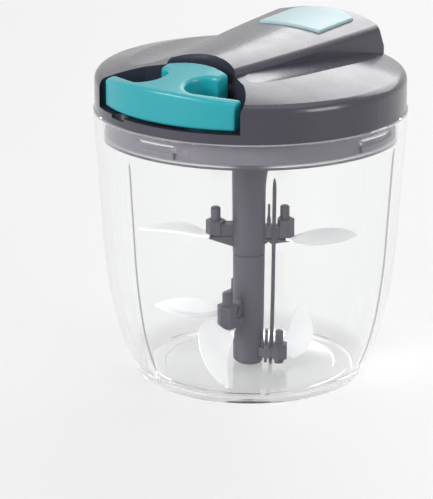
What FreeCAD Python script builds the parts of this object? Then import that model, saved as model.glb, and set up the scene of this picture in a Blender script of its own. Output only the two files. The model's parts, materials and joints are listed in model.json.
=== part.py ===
import FreeCAD, Part
import math
import os
import re
import Sketcher
from FreeCAD import Placement, Rotation, Vector

# Pull-cord food chopper: clear bowl, grey lid with a pull handle, five sickle blades.
# The origin is the centre of the bowl's foot on the table, +Z is up, and the pull
# handle is on the -Y side. All sizes are in millimetres.

SIZES = [
    # Bowl
    ("bowl_height", 105.0, "table to the bowl's rim"),
    ("rim_radius", 60.0, "outside of the bowl's rim"),
    ("bowl_wall", 2.6, "thickness of the clear wall"),
    ("floor_top", 2.2, "inside of the bowl's floor above the table"),
    ("foot_radius", 43.5, "outside of the foot ring"),
    ("foot_ring", 3.0, "width of the foot ring"),
    ("foot_recess", 0.4, "hollow under the floor"),
    ("toe_radius", 45.6, "outside, half way up the foot's curve"),
    ("toe_height", 4.3, "height half way up the foot's curve"),
    ("heel_radius", 47.5, "outside at the top of the foot's curve"),
    ("heel_height", 8.6, "height at the top of the foot's curve"),
    ("curve_radius", 50.9, "outside, half way up the lower curve"),
    ("curve_height", 18.0, "height half way up the lower curve"),
    ("belly_radius", 53.6, "outside at the top of the lower curve"),
    ("belly_height", 29.0, "height at the top of the lower curve"),
    ("bend_radius", 55.85, "outside, half way up the upper curve"),
    ("bend_height", 44.5, "height half way up the upper curve"),
    ("waist_radius", 57.1, "outside where the straight side starts"),
    ("waist_height", 60.0, "height where the straight side starts"),
    ("rib_count", 6, "ribs inside the wall that stop the food turning"),
    ("rib_thickness", 1.8, "each rib, along the wall"),
    ("rib_depth", 1.3, "each rib, off the wall"),
    ("rib_drop", 19.0, "top of the ribs below the rim"),
    ("rib_turn", -44.0, "direction of the first rib"),
    ("tab_count", 4, "lid tabs inside the rim"),
    ("tab_depth", 1.3, "each lid tab, off the wall"),
    ("tab_drop", 4.0, "underside of a lid tab below the rim"),
    ("tab_thickness", 1.6, "each lid tab"),
    ("tab_sweep", 17.0, "length of a tab in degrees"),
    ("tab_turn", -89.0, "direction of the first tab"),
    ("pin_radius", 2.0, "steel pivot pin in the bowl's floor"),
    ("pin_length", 13.3, "whole length of the pivot pin"),
    ("pin_seat", 1.0, "depth of the pin's hole below the floor's top"),
    ("pin_boss_radius", 4.0, "boss round the pivot pin"),
    ("pin_boss_height", 3.0, "boss above the floor"),
    # Lid
    ("lid_gap", 0.4, "cover's edge above the bowl's rim"),
    ("cover_inset", 0.6, "cover's side inside the rim's outer face"),
    ("cover_wall", 2.4, "thickness of the cover"),
    ("side_height", 11.0, "top of the cover's upright side above the rim"),
    ("shoulder_inset", 3.2, "dome's edge inside the cover's side"),
    ("shoulder_height", 14.9, "dome's edge above the rim"),
    ("dome_mid_radius", 40.0, "a ring on the dome"),
    ("dome_mid_height", 18.4, "that ring above the rim"),
    ("dome_height", 21.8, "dome's centre above the rim"),
    ("ridge_front", 15.5, "half the width of the ridge at its front end"),
    ("ridge_middle", 22.0, "half the width of the ridge at the middle"),
    ("ridge_rear", 26.2, "half the width of the ridge at its rear end"),
    ("ridge_front_y", -34.0, "front end of the ridge"),
    ("ridge_rise_front", 21.6, "ridge's edge above the rim at the front"),
    ("ridge_rise_middle", 23.9, "ridge's edge above the rim at the middle"),
    ("ridge_rise_rear", 26.6, "ridge's edge above the rim at the rear"),
    ("ridge_crown", 2.2, "ridge's centre above its edges"),
    ("ridge_corner", 2.2, "rounding of the ridge's edges"),
    ("ridge_end_inset", 2.4, "foot of the ridge's rear face inside the cover's side"),
    ("ridge_end_setback", 4.4, "middle of the ridge's rear edge inside the cover's side"),
    ("ridge_end_bulge", 10.6, "rear corners of the ridge before the middle of its edge"),
    ("ridge_end_lean", 0.42, "lean of the ridge's rear face"),
    ("right_dish_x", 25.0, "centre of the right scoop from the middle"),
    ("right_dish_y", 6.0, "centre of the right scoop along the ridge"),
    ("right_dish_length", 36.0, "half the length of the right scoop"),
    ("right_dish_width", 11.0, "half the width of the right scoop"),
    ("right_dish_depth", 1.7, "depth of the right scoop"),
    ("right_dish_turn", -3.0, "heading of the right scoop from the ridge in degrees"),
    ("left_dish_x", -33.0, "centre of the left scoop from the middle"),
    ("left_dish_y", -4.0, "centre of the left scoop along the ridge"),
    ("left_dish_length", 25.0, "half the length of the left scoop"),
    ("left_dish_width", 12.5, "half the width of the left scoop"),
    ("left_dish_depth", 1.7, "depth of the left scoop"),
    ("left_dish_turn", 8.0, "heading of the left scoop from the ridge in degrees"),
    ("lug_gap", 0.3, "lugs to the bowl's wall at the skirt's bottom"),
    ("skirt_wall", 2.0, "thickness of the skirt"),
    ("skirt_drop", 8.1, "bottom of the skirt below the rim"),
    ("plate_drop", 4.0, "top of the lid's inner plate below the rim"),
    ("plate_thickness", 2.0, "inner plate"),
    ("flange_gap", 0.3, "edge of the skirt's flange to the cover's wall"),
    ("flange_lift", 0.7, "underside of that edge above the rim"),
    ("flange_thickness", 1.5, "that edge"),
    ("lug_depth", 1.1, "each skirt lug, off the skirt"),
    ("lug_thickness", 2.4, "each skirt lug"),
    ("lug_lift", 0.5, "underside of a lug above the skirt's bottom"),
    ("lug_sweep", 15.0, "length of a lug in degrees"),
    ("seal_lip", 0.8, "edge of the seal outside the skirt"),
    ("seal_thickness", 1.4, "flat of the seal"),
    ("seal_gap", 0.3, "seal to the lid"),
    ("seal_collar", 1.7, "upright of the seal"),
    ("screw_circle", 44.0, "lid screws from the centre"),
    ("screw_radius", 1.5, "lid screw's shank"),
    ("screw_head", 2.8, "radius of a lid screw's head"),
    ("screw_head_height", 2.0, "height of a lid screw's head"),
    ("screw_length", 12.0, "lid screw's shank"),
    ("screw_boss", 3.6, "radius of a screw boss"),
    # Handle and its dock
    ("dock_floor", 4.0, "floor of the handle's dock above the rim"),
    ("dock_wall", 1.8, "walls and floor of the dock"),
    ("spool_room", 0.7, "spool's flanges to the dock's back wall"),
    ("dock_corner_x", 16.5, "half the width of the dock's back"),
    ("dock_bulge", 5.8, "back corners of the dock before the middle of its back"),
    ("dock_hip_x", 23.5, "half the width where the dock's sides flare"),
    ("dock_hip_run", 9.8, "where the dock's sides flare, before its back"),
    ("dock_front_x", 33.6, "half the width of the dock at the front"),
    ("dock_front_y", 47.0, "where the dock's front corners are"),
    ("handle_lift", 0.9, "handle above the dock's floor"),
    ("handle_inset", 1.8, "handle's front face inside the cover's side"),
    ("handle_half", 30.8, "half the width of the handle's front bar"),
    ("handle_bar", 4.7, "thickness of the front bar"),
    ("grip_x", 13.6, "centre of a finger recess from the middle"),
    ("grip_setback", 13.3, "centre of a finger recess behind the handle's front"),
    ("grip_radius", 7.4, "finger recess"),
    ("handle_back_x", 14.3, "half the width of the handle's rear bar"),
    ("handle_gap", 4.0, "handle's rear edge to the dock's back wall"),
    ("handle_bulge", 3.2, "rear corners of the handle before the middle of its edge"),
    ("handle_rise", 17.3, "handle's top at the front above the rim"),
    ("handle_slope", 9.0, "rise of the handle's top to the rear in degrees"),
    ("handle_crown", 5.9, "fall of the handle's top to its sides"),
    ("handle_edge", 1.2, "rounding of the handle's edges"),
    # Cord, spool, spring and clutch
    ("cord_radius", 0.9, "pull cord"),
    ("cord_height", 10.0, "centre of the pull cord above the rim"),
    ("cord_bend", 5.0, "bend of the cord in its guide"),
    ("wound_radius", 19.85, "centre of the wound cord from the axis"),
    ("guide_bore", 1.3, "hole of the cord guide"),
    ("guide_radius", 3.0, "cord guide in the dock's back wall"),
    ("guide_flange", 4.2, "flange of the cord guide"),
    ("guide_sink", 0.3, "depth of the flange's seat in the wall"),
    ("knot_radius", 2.3, "knot at the cord's end"),
    ("spool_flange", 21.9, "spool's flanges"),
    ("spool_flange_thickness", 1.2, "each flange"),
    ("spool_groove", 8.4, "space between the flanges"),
    ("cup_radius", 16.6, "spring cup inside the spool"),
    ("ring_radius", 18.4, "outside of the ratchet ring"),
    ("tooth_root", 16.5, "ratchet teeth, outer radius"),
    ("tooth_tip", 14.9, "ratchet teeth, inner radius"),
    ("tooth_count", 8, "ratchet teeth"),
    ("clutch_depth", 6.4, "ratchet chamber above the clutch disc"),
    ("web_thickness", 1.4, "spool's web"),
    ("post_radius", 4.8, "post in the cover that the spool turns on"),
    ("running_gap", 0.05, "radial clearance of running fits"),
    ("spring_height", 6.2, "flat recoil spring"),
    ("spring_inner", 5.4, "inner turn of the recoil spring"),
    ("spring_outer", 16.0, "outer turn of the recoil spring"),
    ("spring_turns", 9, "turns of the recoil spring"),
    ("spring_strip", 0.35, "thickness of the recoil spring's strip"),
    ("washer_radius", 7.0, "washer that holds the spool"),
    ("washer_thickness", 0.5, "that washer"),
    ("post_screw_radius", 1.5, "screw in the cover's post"),
    ("post_screw_length", 11.0, "that screw"),
    ("disc_radius", 14.2, "clutch disc"),
    ("disc_lift", 1.2, "clutch disc above the inner plate"),
    ("disc_thickness", 2.0, "clutch disc"),
    ("sleeve_radius", 9.4, "drive socket's sleeve"),
    ("socket_boss", 6.6, "drive socket's upper boss"),
    ("drive_hex", 9.0, "hexagon on the blade shaft, across flats"),
    ("hex_gap", 0.1, "hexagon to its socket, each side"),
    ("hex_length", 9.1, "length of the hexagon"),
    ("pawl_circle", 10.4, "pawl posts from the axis"),
    ("pawl_post", 1.25, "radius of a pawl post"),
    ("pawl_height", 2.8, "pawls"),
    ("pawl_half", 1.5, "half the width of a pawl"),
    # Release button
    ("button_half", 14.4, "half the width of the button"),
    ("button_front", 24.0, "front edge of the button"),
    ("button_margin", 3.4, "button's rear edge before the ridge's rear edge"),
    ("button_bulge", 5.8, "rear corners of the button before the middle of its edge"),
    ("button_proud", 1.0, "button above the ridge"),
    ("button_gap", 0.3, "button to its recess"),
    ("button_seat", 22.6, "floor of the button's recess above the rim"),
    ("button_base", 24.6, "underside of the button above the rim"),
    ("button_travel", 1.6, "travel of the button"),
    ("stem_y", 38.0, "button's stem from the axis"),
    ("stem_radius", 2.6, "button's stem"),
    ("stem_collar", 4.6, "collar of the stem on its spring"),
    ("vent_radius", 3.2, "vent hole in the inner plate"),
    ("vent_plug_radius", 5.5, "silicone vent plug"),
    # Blade unit
    ("hub_gap", 0.4, "lower hub above the bowl's floor"),
    ("hub_foot_radius", 6.5, "lower hub at its foot"),
    ("hub_radius", 6.7, "hubs at the joint between them"),
    ("shaft_radius", 7.2, "upper hub at its top"),
    ("joint_height", 46.8, "joint between the two hubs"),
    ("shaft_drop", 8.1, "top of the upper hub's shoulder below the rim"),
    ("spigot_radius", 4.4, "lower hub's spigot in the upper hub"),
    ("spigot_length", 13.0, "that spigot"),
    ("bush_radius", 3.4, "bush round the pivot pin"),
    ("blade_circle", 13.3, "blade posts from the axis"),
    ("blade_thickness", 1.0, "blades"),
    ("post_shank", 1.5, "blade post's shank"),
    ("post_pin", 1.9, "radius of the post's pin above its block"),
    ("post_head", 2.1, "radius of the post's head under the blade"),
    ("post_head_height", 0.8, "that head"),
    ("block_flats", 6.6, "blocks on the arms' ends, across flats"),
    ("pin_rise", 5.3, "post's pin above its block"),
    ("fin_thickness", 3.0, "fins of the arms along the hub"),
]

# Each blade: node, direction of its post and height of its underside; heading, length,
# rise and twist in degrees, how far its outer and inner edges bulge off the middle line;
# thickness of its arm, height of the block on the arm's end, depth of the arm's fin or
# wedge; neck from post to leaf, and the leaf's root outwards and inwards of the middle.
BLADES = [
    ("upper_blade_left", 218.0, 53.4, 211.6, 30.4, 2.2, -7.4, -9.7, 0.4,
     4.2, 5.4, -3.6, 5.0, 2.8, 2.8),
    ("upper_blade_right", 38.0, 52.4, 11.2, 31.6, 10.5, 16.6, -6.2, 6.4,
     4.2, 7.0, -1.6, 5.0, 2.8, 2.8),
    ("lower_blade_front", -93.0, 18.4, -51.5, 31.6, -34.6, -55.0, -18.4, 0.2,
     3.0, 9.0, 8.0, 6.0, 10.0, 4.0),
    ("lower_blade_left", 152.5, 20.0, 238.0, 34.0, 8.0, -14.0, 8.2, -6.0,
     3.4, 5.8, 3.0, 5.0, 2.8, 2.8),
    ("lower_blade_right", 5.0, 5.0, 113.0, 38.0, 19.0, 25.0, -9.4, 1.3,
     3.8, 5.9, 3.0, 5.2, 4.4, 1.5),
]

# Radii and heights that several pieces share, as expressions of the sizes
COVER = "(rim_radius - cover_inset)"
SHOULDER = f"({COVER} - shoulder_inset)"
DOME_BEND = f"((dome_mid_height - shoulder_height) / ({SHOULDER}^2 - dome_mid_radius^2))"
FLANGE = f"({COVER} - cover_wall - flange_gap)"
TAB = "(rim_radius - bowl_wall - tab_depth)"
RIDGE_END = f"({COVER} - ridge_end_inset)"
RIDGE_END_Y = f"({COVER} - ridge_end_setback)"
BUTTON_REAR = f"({RIDGE_END_Y} - button_margin)"
BUTTON_CORNER = f"({BUTTON_REAR} - button_bulge)"
DOCK_BACK = "(spool_flange + spool_room + dock_wall)"
DOCK_CORNER_Y = f"({DOCK_BACK} + dock_bulge)"
DOCK_HIP_Y = f"({DOCK_BACK} + dock_hip_run)"
HANDLE_BACK = f"({DOCK_BACK} + handle_gap)"
HANDLE_CORNER_Y = f"({HANDLE_BACK} + handle_bulge)"
HANDLE_FRONT = f"({COVER} - handle_inset)"
GRIP_Y = f"({HANDLE_FRONT} - grip_setback)"
COVER_EDGE = "(bowl_height + lid_gap)"
SKIRT_BOTTOM = "(bowl_height - skirt_drop)"
PLATE_TOP = "(bowl_height - plate_drop)"
PLATE_BOTTOM = f"({PLATE_TOP} - plate_thickness)"
DISC_BOTTOM = f"({PLATE_TOP} + disc_lift)"
DISC_TOP = f"({DISC_BOTTOM} + disc_thickness)"
CORD_LEVEL = "(bowl_height + cord_height)"
GROOVE_TOP = f"({CORD_LEVEL} + spool_groove * 0.4)"
GROOVE_BOTTOM = f"({GROOVE_TOP} - spool_groove)"
SPOOL_TOP = f"({GROOVE_TOP} + spool_flange_thickness)"
WEB_BOTTOM = f"({DISC_TOP} + clutch_depth)"
WEB_TOP = f"({WEB_BOTTOM} + web_thickness)"
POST_BOTTOM = f"({WEB_BOTTOM} - 0.2)"
DOCK_FLOOR = "(bowl_height + dock_floor)"
DOCK_UNDER = f"({DOCK_FLOOR} - dock_wall)"
HANDLE_BOTTOM = f"({DOCK_FLOOR} + handle_lift)"
SHAFT_TOP = "(bowl_height - shaft_drop)"
HEX_TOP = f"({SHAFT_TOP} + hex_length)"
BOSS_TOP = f"({HEX_TOP} + 1.5)"
HUB_BOTTOM = "(floor_top + hub_gap)"
PIN_BOTTOM = "(floor_top - pin_seat)"
PIN_TOP = f"({PIN_BOTTOM} + pin_length)"
ABOVE_ALL = "(bowl_height + 60)"
SIDE_SLOPE = "(rim_radius - waist_radius) / (bowl_height - waist_height)"
LUG = f"(rim_radius - skirt_drop * {SIDE_SLOPE} - bowl_wall - lug_gap)"
SKIRT = f"({LUG} - lug_depth)"
SEAL = f"({SKIRT} + seal_lip)"
KNOT_DEPTH = f"({GRIP_Y} - 1.5)"
KNOT_Y = f"(-{KNOT_DEPTH})"

FUNCTIONS = {"cos", "sin", "tan", "acos", "asin", "atan", "sqrt", "abs", "min", "max"}
ORIGIN = Vector(0, 0, 0)
UP = Vector(0, 0, 1)

doc = FreeCAD.newDocument("pull_cord_chopper")
sheet = doc.addObject("Spreadsheet::Sheet", "sizes")
for row, (name, value, note) in enumerate(SIZES, start=1):
    sheet.set(f"A{row}", name)
    sheet.set(f"B{row}", str(value))
    sheet.set(f"C{row}", note)
    sheet.setAlias(f"B{row}", name)
doc.recompute()

nodes = {}


# Expressions
def size(expression):
    """The value of an expression of the sizes."""
    return float(sheet.evalExpression(str(expression)))


def bound(expression):
    """The same expression as another object reads it from the sheet."""
    def word(match):
        return match[0] if match[0] in FUNCTIONS else "sizes." + match[0]
    return re.sub(r"[A-Za-z_]\w*", word, str(expression))


def bind(thing, path, expression):
    thing.setExpression(path, bound(expression))


def minus(expression):
    return f"(-({expression}))"


def polar(radius, angle):
    """A corner at this radius and direction."""
    return (f"({radius}) * cos({angle})", f"({radius}) * sin({angle})")


def via(corner):
    """Marks the middle of an arc between the corners before and after it."""
    return (*corner, "via")


def mirrored(half):
    """A whole outline from its +X half, which starts and ends off the middle line."""
    left = [(minus(p[0]), *p[1:]) for p in reversed(half)]
    return half, left


# Sketches
def coordinates(point):
    return Vector(size(point[0]), size(point[1]), 0)


def pin_down(sketch, geometry, vertex, point):
    """Holds a point of the sketch at two expressions of the sizes."""
    for kind, expression in (("DistanceX", point[0]), ("DistanceY", point[1])):
        value = size(expression)
        number = sketch.addConstraint(Sketcher.Constraint(kind, geometry, vertex, value))
        if re.search("[a-z]", str(expression)):
            bind(sketch, f"Constraints[{number}]", expression)


def draw(sketch, outline):
    """Draws a closed outline of lines and arcs, each corner bound to the sizes."""
    corners = [p for p in outline if len(p) == 2]
    arcs = {}
    seen = 0
    for p in outline:
        if len(p) == 3:
            arcs[seen - 1] = p
        else:
            seen += 1
    ends = []
    for i, corner in enumerate(corners):
        start = coordinates(corner)
        end = coordinates(corners[(i + 1) % len(corners)])
        if i in arcs:
            between = coordinates(arcs[i])
            forward = (between - start).cross(end - between).z > 0
            curve = Part.Arc(start, between, end) if forward else Part.Arc(end, between, start)
            number = sketch.addGeometry(curve, False)
            middle = sketch.addGeometry(Part.Point(between), True)
            pin_down(sketch, middle, 1, arcs[i])
            sketch.addConstraint(Sketcher.Constraint("PointOnObject", middle, 1, number))
        else:
            number = sketch.addGeometry(Part.LineSegment(start, end), False)
            forward = True
        ends.append((number, 1, 2) if forward else (number, 2, 1))
    for i, (number, start, end) in enumerate(ends):
        following = ends[(i + 1) % len(ends)]
        sketch.addConstraint(
            Sketcher.Constraint("Coincident", number, end, following[0], following[1]))
        pin_down(sketch, number, start, corners[i])


def free_sketch(name, plane, outline, lift=None):
    """A sketch of its own on an upright or level plane, lifted along the plane's normal."""
    sketch = doc.addObject("Sketcher::SketchObject", name)
    turns = {"XY": Rotation(), "XZ": Rotation(Vector(1, 0, 0), 90),
             "YZ": Rotation(Vector(1, 1, 1), 120)}
    sketch.Placement = Placement(ORIGIN, turns[plane])
    if lift is not None:
        axis = {"XY": "z", "XZ": "y", "YZ": "x"}[plane]
        bind(sketch, f"Placement.Base.{axis}", lift)
    draw(sketch, outline)
    return sketch


# Turned and padded bodies
def new_body(name):
    return doc.addObject("PartDesign::Body", name)


def origin_item(owner, role):
    return [item for item in owner.Origin.OriginFeatures if item.Role == role][0]


def body_sketch(owner, name, plane, lift=None, turn=None):
    sketch = owner.newObject("Sketcher::SketchObject", name)
    sketch.AttachmentSupport = [(origin_item(owner, plane + "_Plane"), "")]
    sketch.MapMode = "FlatFace"
    if turn is not None:
        sketch.AttachmentOffset = Placement(ORIGIN, Rotation(Vector(0, 1, 0), size(turn)))
        bind(sketch, "AttachmentOffset.Rotation.Angle", turn)
    if lift is not None:
        bind(sketch, "AttachmentOffset.Base.z", lift)
    return sketch


def turn_profile(owner, name, outline, sweep=None, turn=None):
    """Turns a half profile (radius, height) about the Z axis and adds it to the body."""
    sketch = body_sketch(owner, name + "_profile", "XZ", turn=turn)
    draw(sketch, outline)
    feature = owner.newObject("PartDesign::Revolution", name)
    feature.Profile = sketch
    feature.ReferenceAxis = (sketch, ["V_Axis"])
    feature.Angle = 360.0
    if sweep is not None:
        feature.Midplane = True
        bind(feature, "Angle", sweep)
    return feature


def add_pad(owner, name, sketch, length, both_ways=False):
    feature = owner.newObject("PartDesign::Pad", name)
    feature.Profile = sketch
    feature.SideType = "Symmetric" if both_ways else "One side"
    bind(feature, "Length", length)
    return feature


def repeat(owner, name, features, count):
    """Repeats features evenly about the Z axis."""
    pattern = owner.newObject("PartDesign::PolarPattern", name)
    pattern.Originals = features
    pattern.Axis = (origin_item(owner, "Z_Axis"), [""])
    pattern.Angle = 360.0
    bind(pattern, "Occurrences", count)
    owner.Tip = pattern
    return pattern


def turned(name, outline):
    """A piece made in one turning."""
    owner = new_body(name)
    turn_profile(owner, name + "_turned", outline)
    return owner


# Simple solids and booleans
def place(thing, x="0", y="0", z="0"):
    for axis, expression in zip("xyz", (x, y, z)):
        if expression != "0":
            bind(thing, f"Placement.Base.{axis}", expression)


def cylinder(name, radius, bottom, top, x="0", y="0"):
    thing = doc.addObject("Part::Cylinder", name)
    bind(thing, "Radius", radius)
    bind(thing, "Height", f"({top}) - ({bottom})")
    place(thing, x, y, bottom)
    return thing


def hexagon(name, flats, bottom, top, x="0", y="0"):
    thing = doc.addObject("Part::Prism", name)
    thing.Polygon = 6
    bind(thing, "Circumradius", f"({flats}) / 2 / cos(30)")
    bind(thing, "Height", f"({top}) - ({bottom})")
    place(thing, x, y, bottom)
    return thing


def extrude(name, outline, bottom, top):
    """A level outline between two heights."""
    sketch = free_sketch(name + "_outline", "XY", outline, bottom)
    thing = doc.addObject("Part::Extrusion", name)
    thing.Base = sketch
    thing.DirMode = "Normal"
    thing.Solid = True
    bind(thing, "LengthFwd", f"({top}) - ({bottom})")
    return thing


def spin(name, outline):
    """A half profile turned about the Z axis."""
    thing = doc.addObject("Part::Revolution", name)
    thing.Source = free_sketch(name + "_profile", "XZ", outline)
    thing.Axis = UP
    thing.Base = ORIGIN
    thing.Angle = 360.0
    thing.Solid = True
    return thing


def cut(name, base, tool):
    thing = doc.addObject("Part::Cut", name)
    thing.Base = base
    thing.Tool = tool
    return thing


def common(name, base, tool):
    thing = doc.addObject("Part::Common", name)
    thing.Base = base
    thing.Tool = tool
    return thing


def fuse(name, *shapes):
    thing = doc.addObject("Part::MultiFuse", name)
    thing.Shapes = list(shapes)
    thing.Refine = True
    return thing


def feature(name, shape):
    thing = doc.addObject("Part::Feature", name)
    thing.Shape = shape
    return thing


def group(name, *shapes):
    """Several like pieces that share one node."""
    thing = doc.addObject("Part::Compound", name)
    thing.Links = list(shapes)
    return thing


def node(name, thing):
    thing.Label = name
    nodes[name] = thing
    return thing


# Bowl
def side_radius(height):
    """Outside of the straight part of the bowl's side at a height."""
    return f"(waist_radius + ({height} - waist_height) * {SIDE_SLOPE})"


def bowl_side(inset, top, bottom):
    """The side's curve between two heights, at a depth inside the outer face."""
    return [
        (f"{side_radius(top)} - {inset}", top),
        (f"waist_radius - {inset}", "waist_height"),
        via((f"bend_radius - {inset}", f"bend_height + {inset} * 0.1")),
        (f"belly_radius - {inset}", f"belly_height + {inset} * 0.17"),
        via((f"curve_radius - {inset} * 0.95", f"curve_height + {inset} * 0.3")),
        (f"heel_radius - {inset} * 0.92", f"heel_height + {inset} * 0.38"),
        via((f"toe_radius - {inset} * 0.87", f"toe_height + {inset} * 0.55")),
        (f"foot_radius - {inset}", bottom),
    ]


def make_bowl():
    owner = new_body("bowl")
    turn_profile(owner, "bowl_shell", [
        ("0", "foot_recess"),
        ("foot_radius - foot_ring", "foot_recess"),
        ("foot_radius - foot_ring", "0"),
        *reversed(bowl_side("0", "bowl_height", "0")),
        *bowl_side("bowl_wall", "bowl_height", "floor_top"),
        ("pin_boss_radius", "floor_top"),
        ("pin_boss_radius", "floor_top + pin_boss_height"),
        ("pin_radius", "floor_top + pin_boss_height"),
        ("pin_radius", PIN_BOTTOM),
        ("0", PIN_BOTTOM),
    ])
    doc.recompute()
    rib_sketch = body_sketch(owner, "rib_profile", "XZ", turn="rib_turn")
    rib_top = "(bowl_height - rib_drop)"
    rib_foot = "floor_top - 0.5"
    draw(rib_sketch, [
        *bowl_side("(bowl_wall + rib_depth)", f"({rib_top} - 2.5)", rib_foot),
        *reversed(bowl_side("(bowl_wall - 0.6)", rib_top, rib_foot)),
    ])
    rib = add_pad(owner, "rib", rib_sketch, "rib_thickness", both_ways=True)
    repeat(owner, "ribs", [rib], "rib_count")
    doc.recompute()
    tab = turn_profile(owner, "tab", [
        ("rim_radius - bowl_wall / 2", "bowl_height - tab_drop"),
        ("rim_radius - bowl_wall / 2", "bowl_height - tab_drop + tab_thickness"),
        (TAB, "bowl_height - tab_drop + tab_thickness"),
        (TAB, "bowl_height - tab_drop"),
    ], sweep="tab_sweep", turn="tab_turn")
    repeat(owner, "tabs", [tab], "tab_count")
    node("bowl", owner)


def make_pivot_pin():
    node("bowl_pivot_pin", turned("bowl_pivot_pin", [
        ("0", PIN_BOTTOM),
        ("pin_radius", PIN_BOTTOM),
        ("pin_radius", f"{PIN_TOP} - 0.8"),
        ("pin_radius - 0.8", PIN_TOP),
        ("0", PIN_TOP),
    ]))


# Lid cover
def dome(inset):
    """The cover's half profile at a depth inside its outer face, closed at the axis."""
    return [
        ("0", COVER_EDGE),
        (f"{COVER} - {inset}", COVER_EDGE),
        (f"{COVER} - {inset}", f"bowl_height + side_height - {inset} * 0.2"),
        via((f"{COVER} - 0.9 - {inset} * 0.9",
             f"bowl_height + shoulder_height - 1.3 - {inset} * 0.7")),
        (f"{SHOULDER} - {inset} * 0.5", f"bowl_height + shoulder_height - {inset}"),
        via(("dome_mid_radius", f"bowl_height + dome_mid_height - {inset}")),
        ("0", f"bowl_height + dome_height - {inset}"),
    ]


def ridge_section(name, half, rise, y, inset):
    """A section across the ridge: upright sides, rounded edges and a crowned top."""
    side = f"({half} - {inset})"
    edge = f"(bowl_height + {rise} - {inset})"
    foot = "(bowl_height + shoulder_height - 4)"
    right, left = mirrored([
        (side, foot),
        (side, f"{edge} - ridge_corner"),
        via((f"{side} - ridge_corner * 0.29", f"{edge} - ridge_corner * 0.29")),
        (f"{side} - ridge_corner", f"{edge} + ridge_crown * 0.12"),
    ])
    crown = via(("0", f"{edge} + ridge_crown"))
    return free_sketch(name, "XZ", [*right, crown, *left], y)


def ridge_plan(name, rise, inset):
    """Plan of the ridge with its round rear end, at a height above the rim."""
    lean = f"(ridge_rise_rear - ({rise})) * ridge_end_lean - {inset}"
    right, left = mirrored([
        ("ridge_rear + 12", minus(COVER)),
        ("ridge_rear + 12", f"{RIDGE_END_Y} - ridge_end_bulge - 9.6 + {lean}"),
    ])
    middle = via(("0", f"{RIDGE_END_Y} + {lean}"))
    return free_sketch(name, "XY", [*right, middle, *left], f"bowl_height + {rise}")


def make_ridge(name, inset):
    sections = [
        ridge_section(name + "_front", "ridge_front", "ridge_rise_front",
                      "ridge_front_y", inset),
        ridge_section(name + "_middle", "ridge_middle", "ridge_rise_middle",
                      f"(ridge_front_y + {COVER}) / 3", inset),
        ridge_section(name + "_rear", "ridge_rear", "ridge_rise_rear",
                      COVER, inset),
    ]
    loft = doc.addObject("Part::Loft", name + "_loft")
    loft.Sections = sections
    loft.Solid = True
    loft.Ruled = False
    limit = cylinder(name + "_limit", f"{RIDGE_END} - {inset}", "0", ABOVE_ALL)
    rear = doc.addObject("Part::Loft", name + "_rear")
    rear.Sections = [ridge_plan(name + "_plan_low", "shoulder_height - 10", inset),
                     ridge_plan(name + "_plan_high", "ridge_rise_rear + 10", inset)]
    rear.Solid = True
    rear.Ruled = True
    return common(name, common(name + "_shortened", loft, rear), limit)


def dock_outline(grow):
    """Plan of the handle's dock, open to the front, grown by its wall where asked."""
    right, left = mirrored([
        (f"dock_front_x + {grow}", minus(f"{COVER} + 8")),
        (f"dock_front_x + {grow}", minus("dock_front_y")),
        via((f"dock_front_x * 0.32 + dock_hip_x * 0.68 + 0.9 + {grow} * 0.75",
             minus(f"{DOCK_HIP_Y} * 0.68 + dock_front_y * 0.32 - {grow} * 0.66"))),
        (f"dock_hip_x + {grow} * 0.6", minus(f"{DOCK_HIP_Y} - {grow} * 0.8")),
        (f"dock_corner_x + {grow} * 0.6", minus(f"{DOCK_CORNER_Y} - {grow} * 0.8")),
    ])
    back = via(("0", minus(f"{DOCK_BACK} - {grow}")))
    return [*right, back, *left]


def button_outline(grow):
    """Plan of the release button: straight front and sides, round rear."""
    half = f"button_half + {grow}"
    return [
        (half, f"button_front - {grow}"),
        (half, BUTTON_CORNER),
        via(("0", f"{BUTTON_REAR} + {grow}")),
        (minus(half), BUTTON_CORNER),
        (minus(half), f"button_front - {grow}"),
    ]


SCREW_DIRECTIONS = (-25.0, 50.0, 130.0, 205.0)


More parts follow.
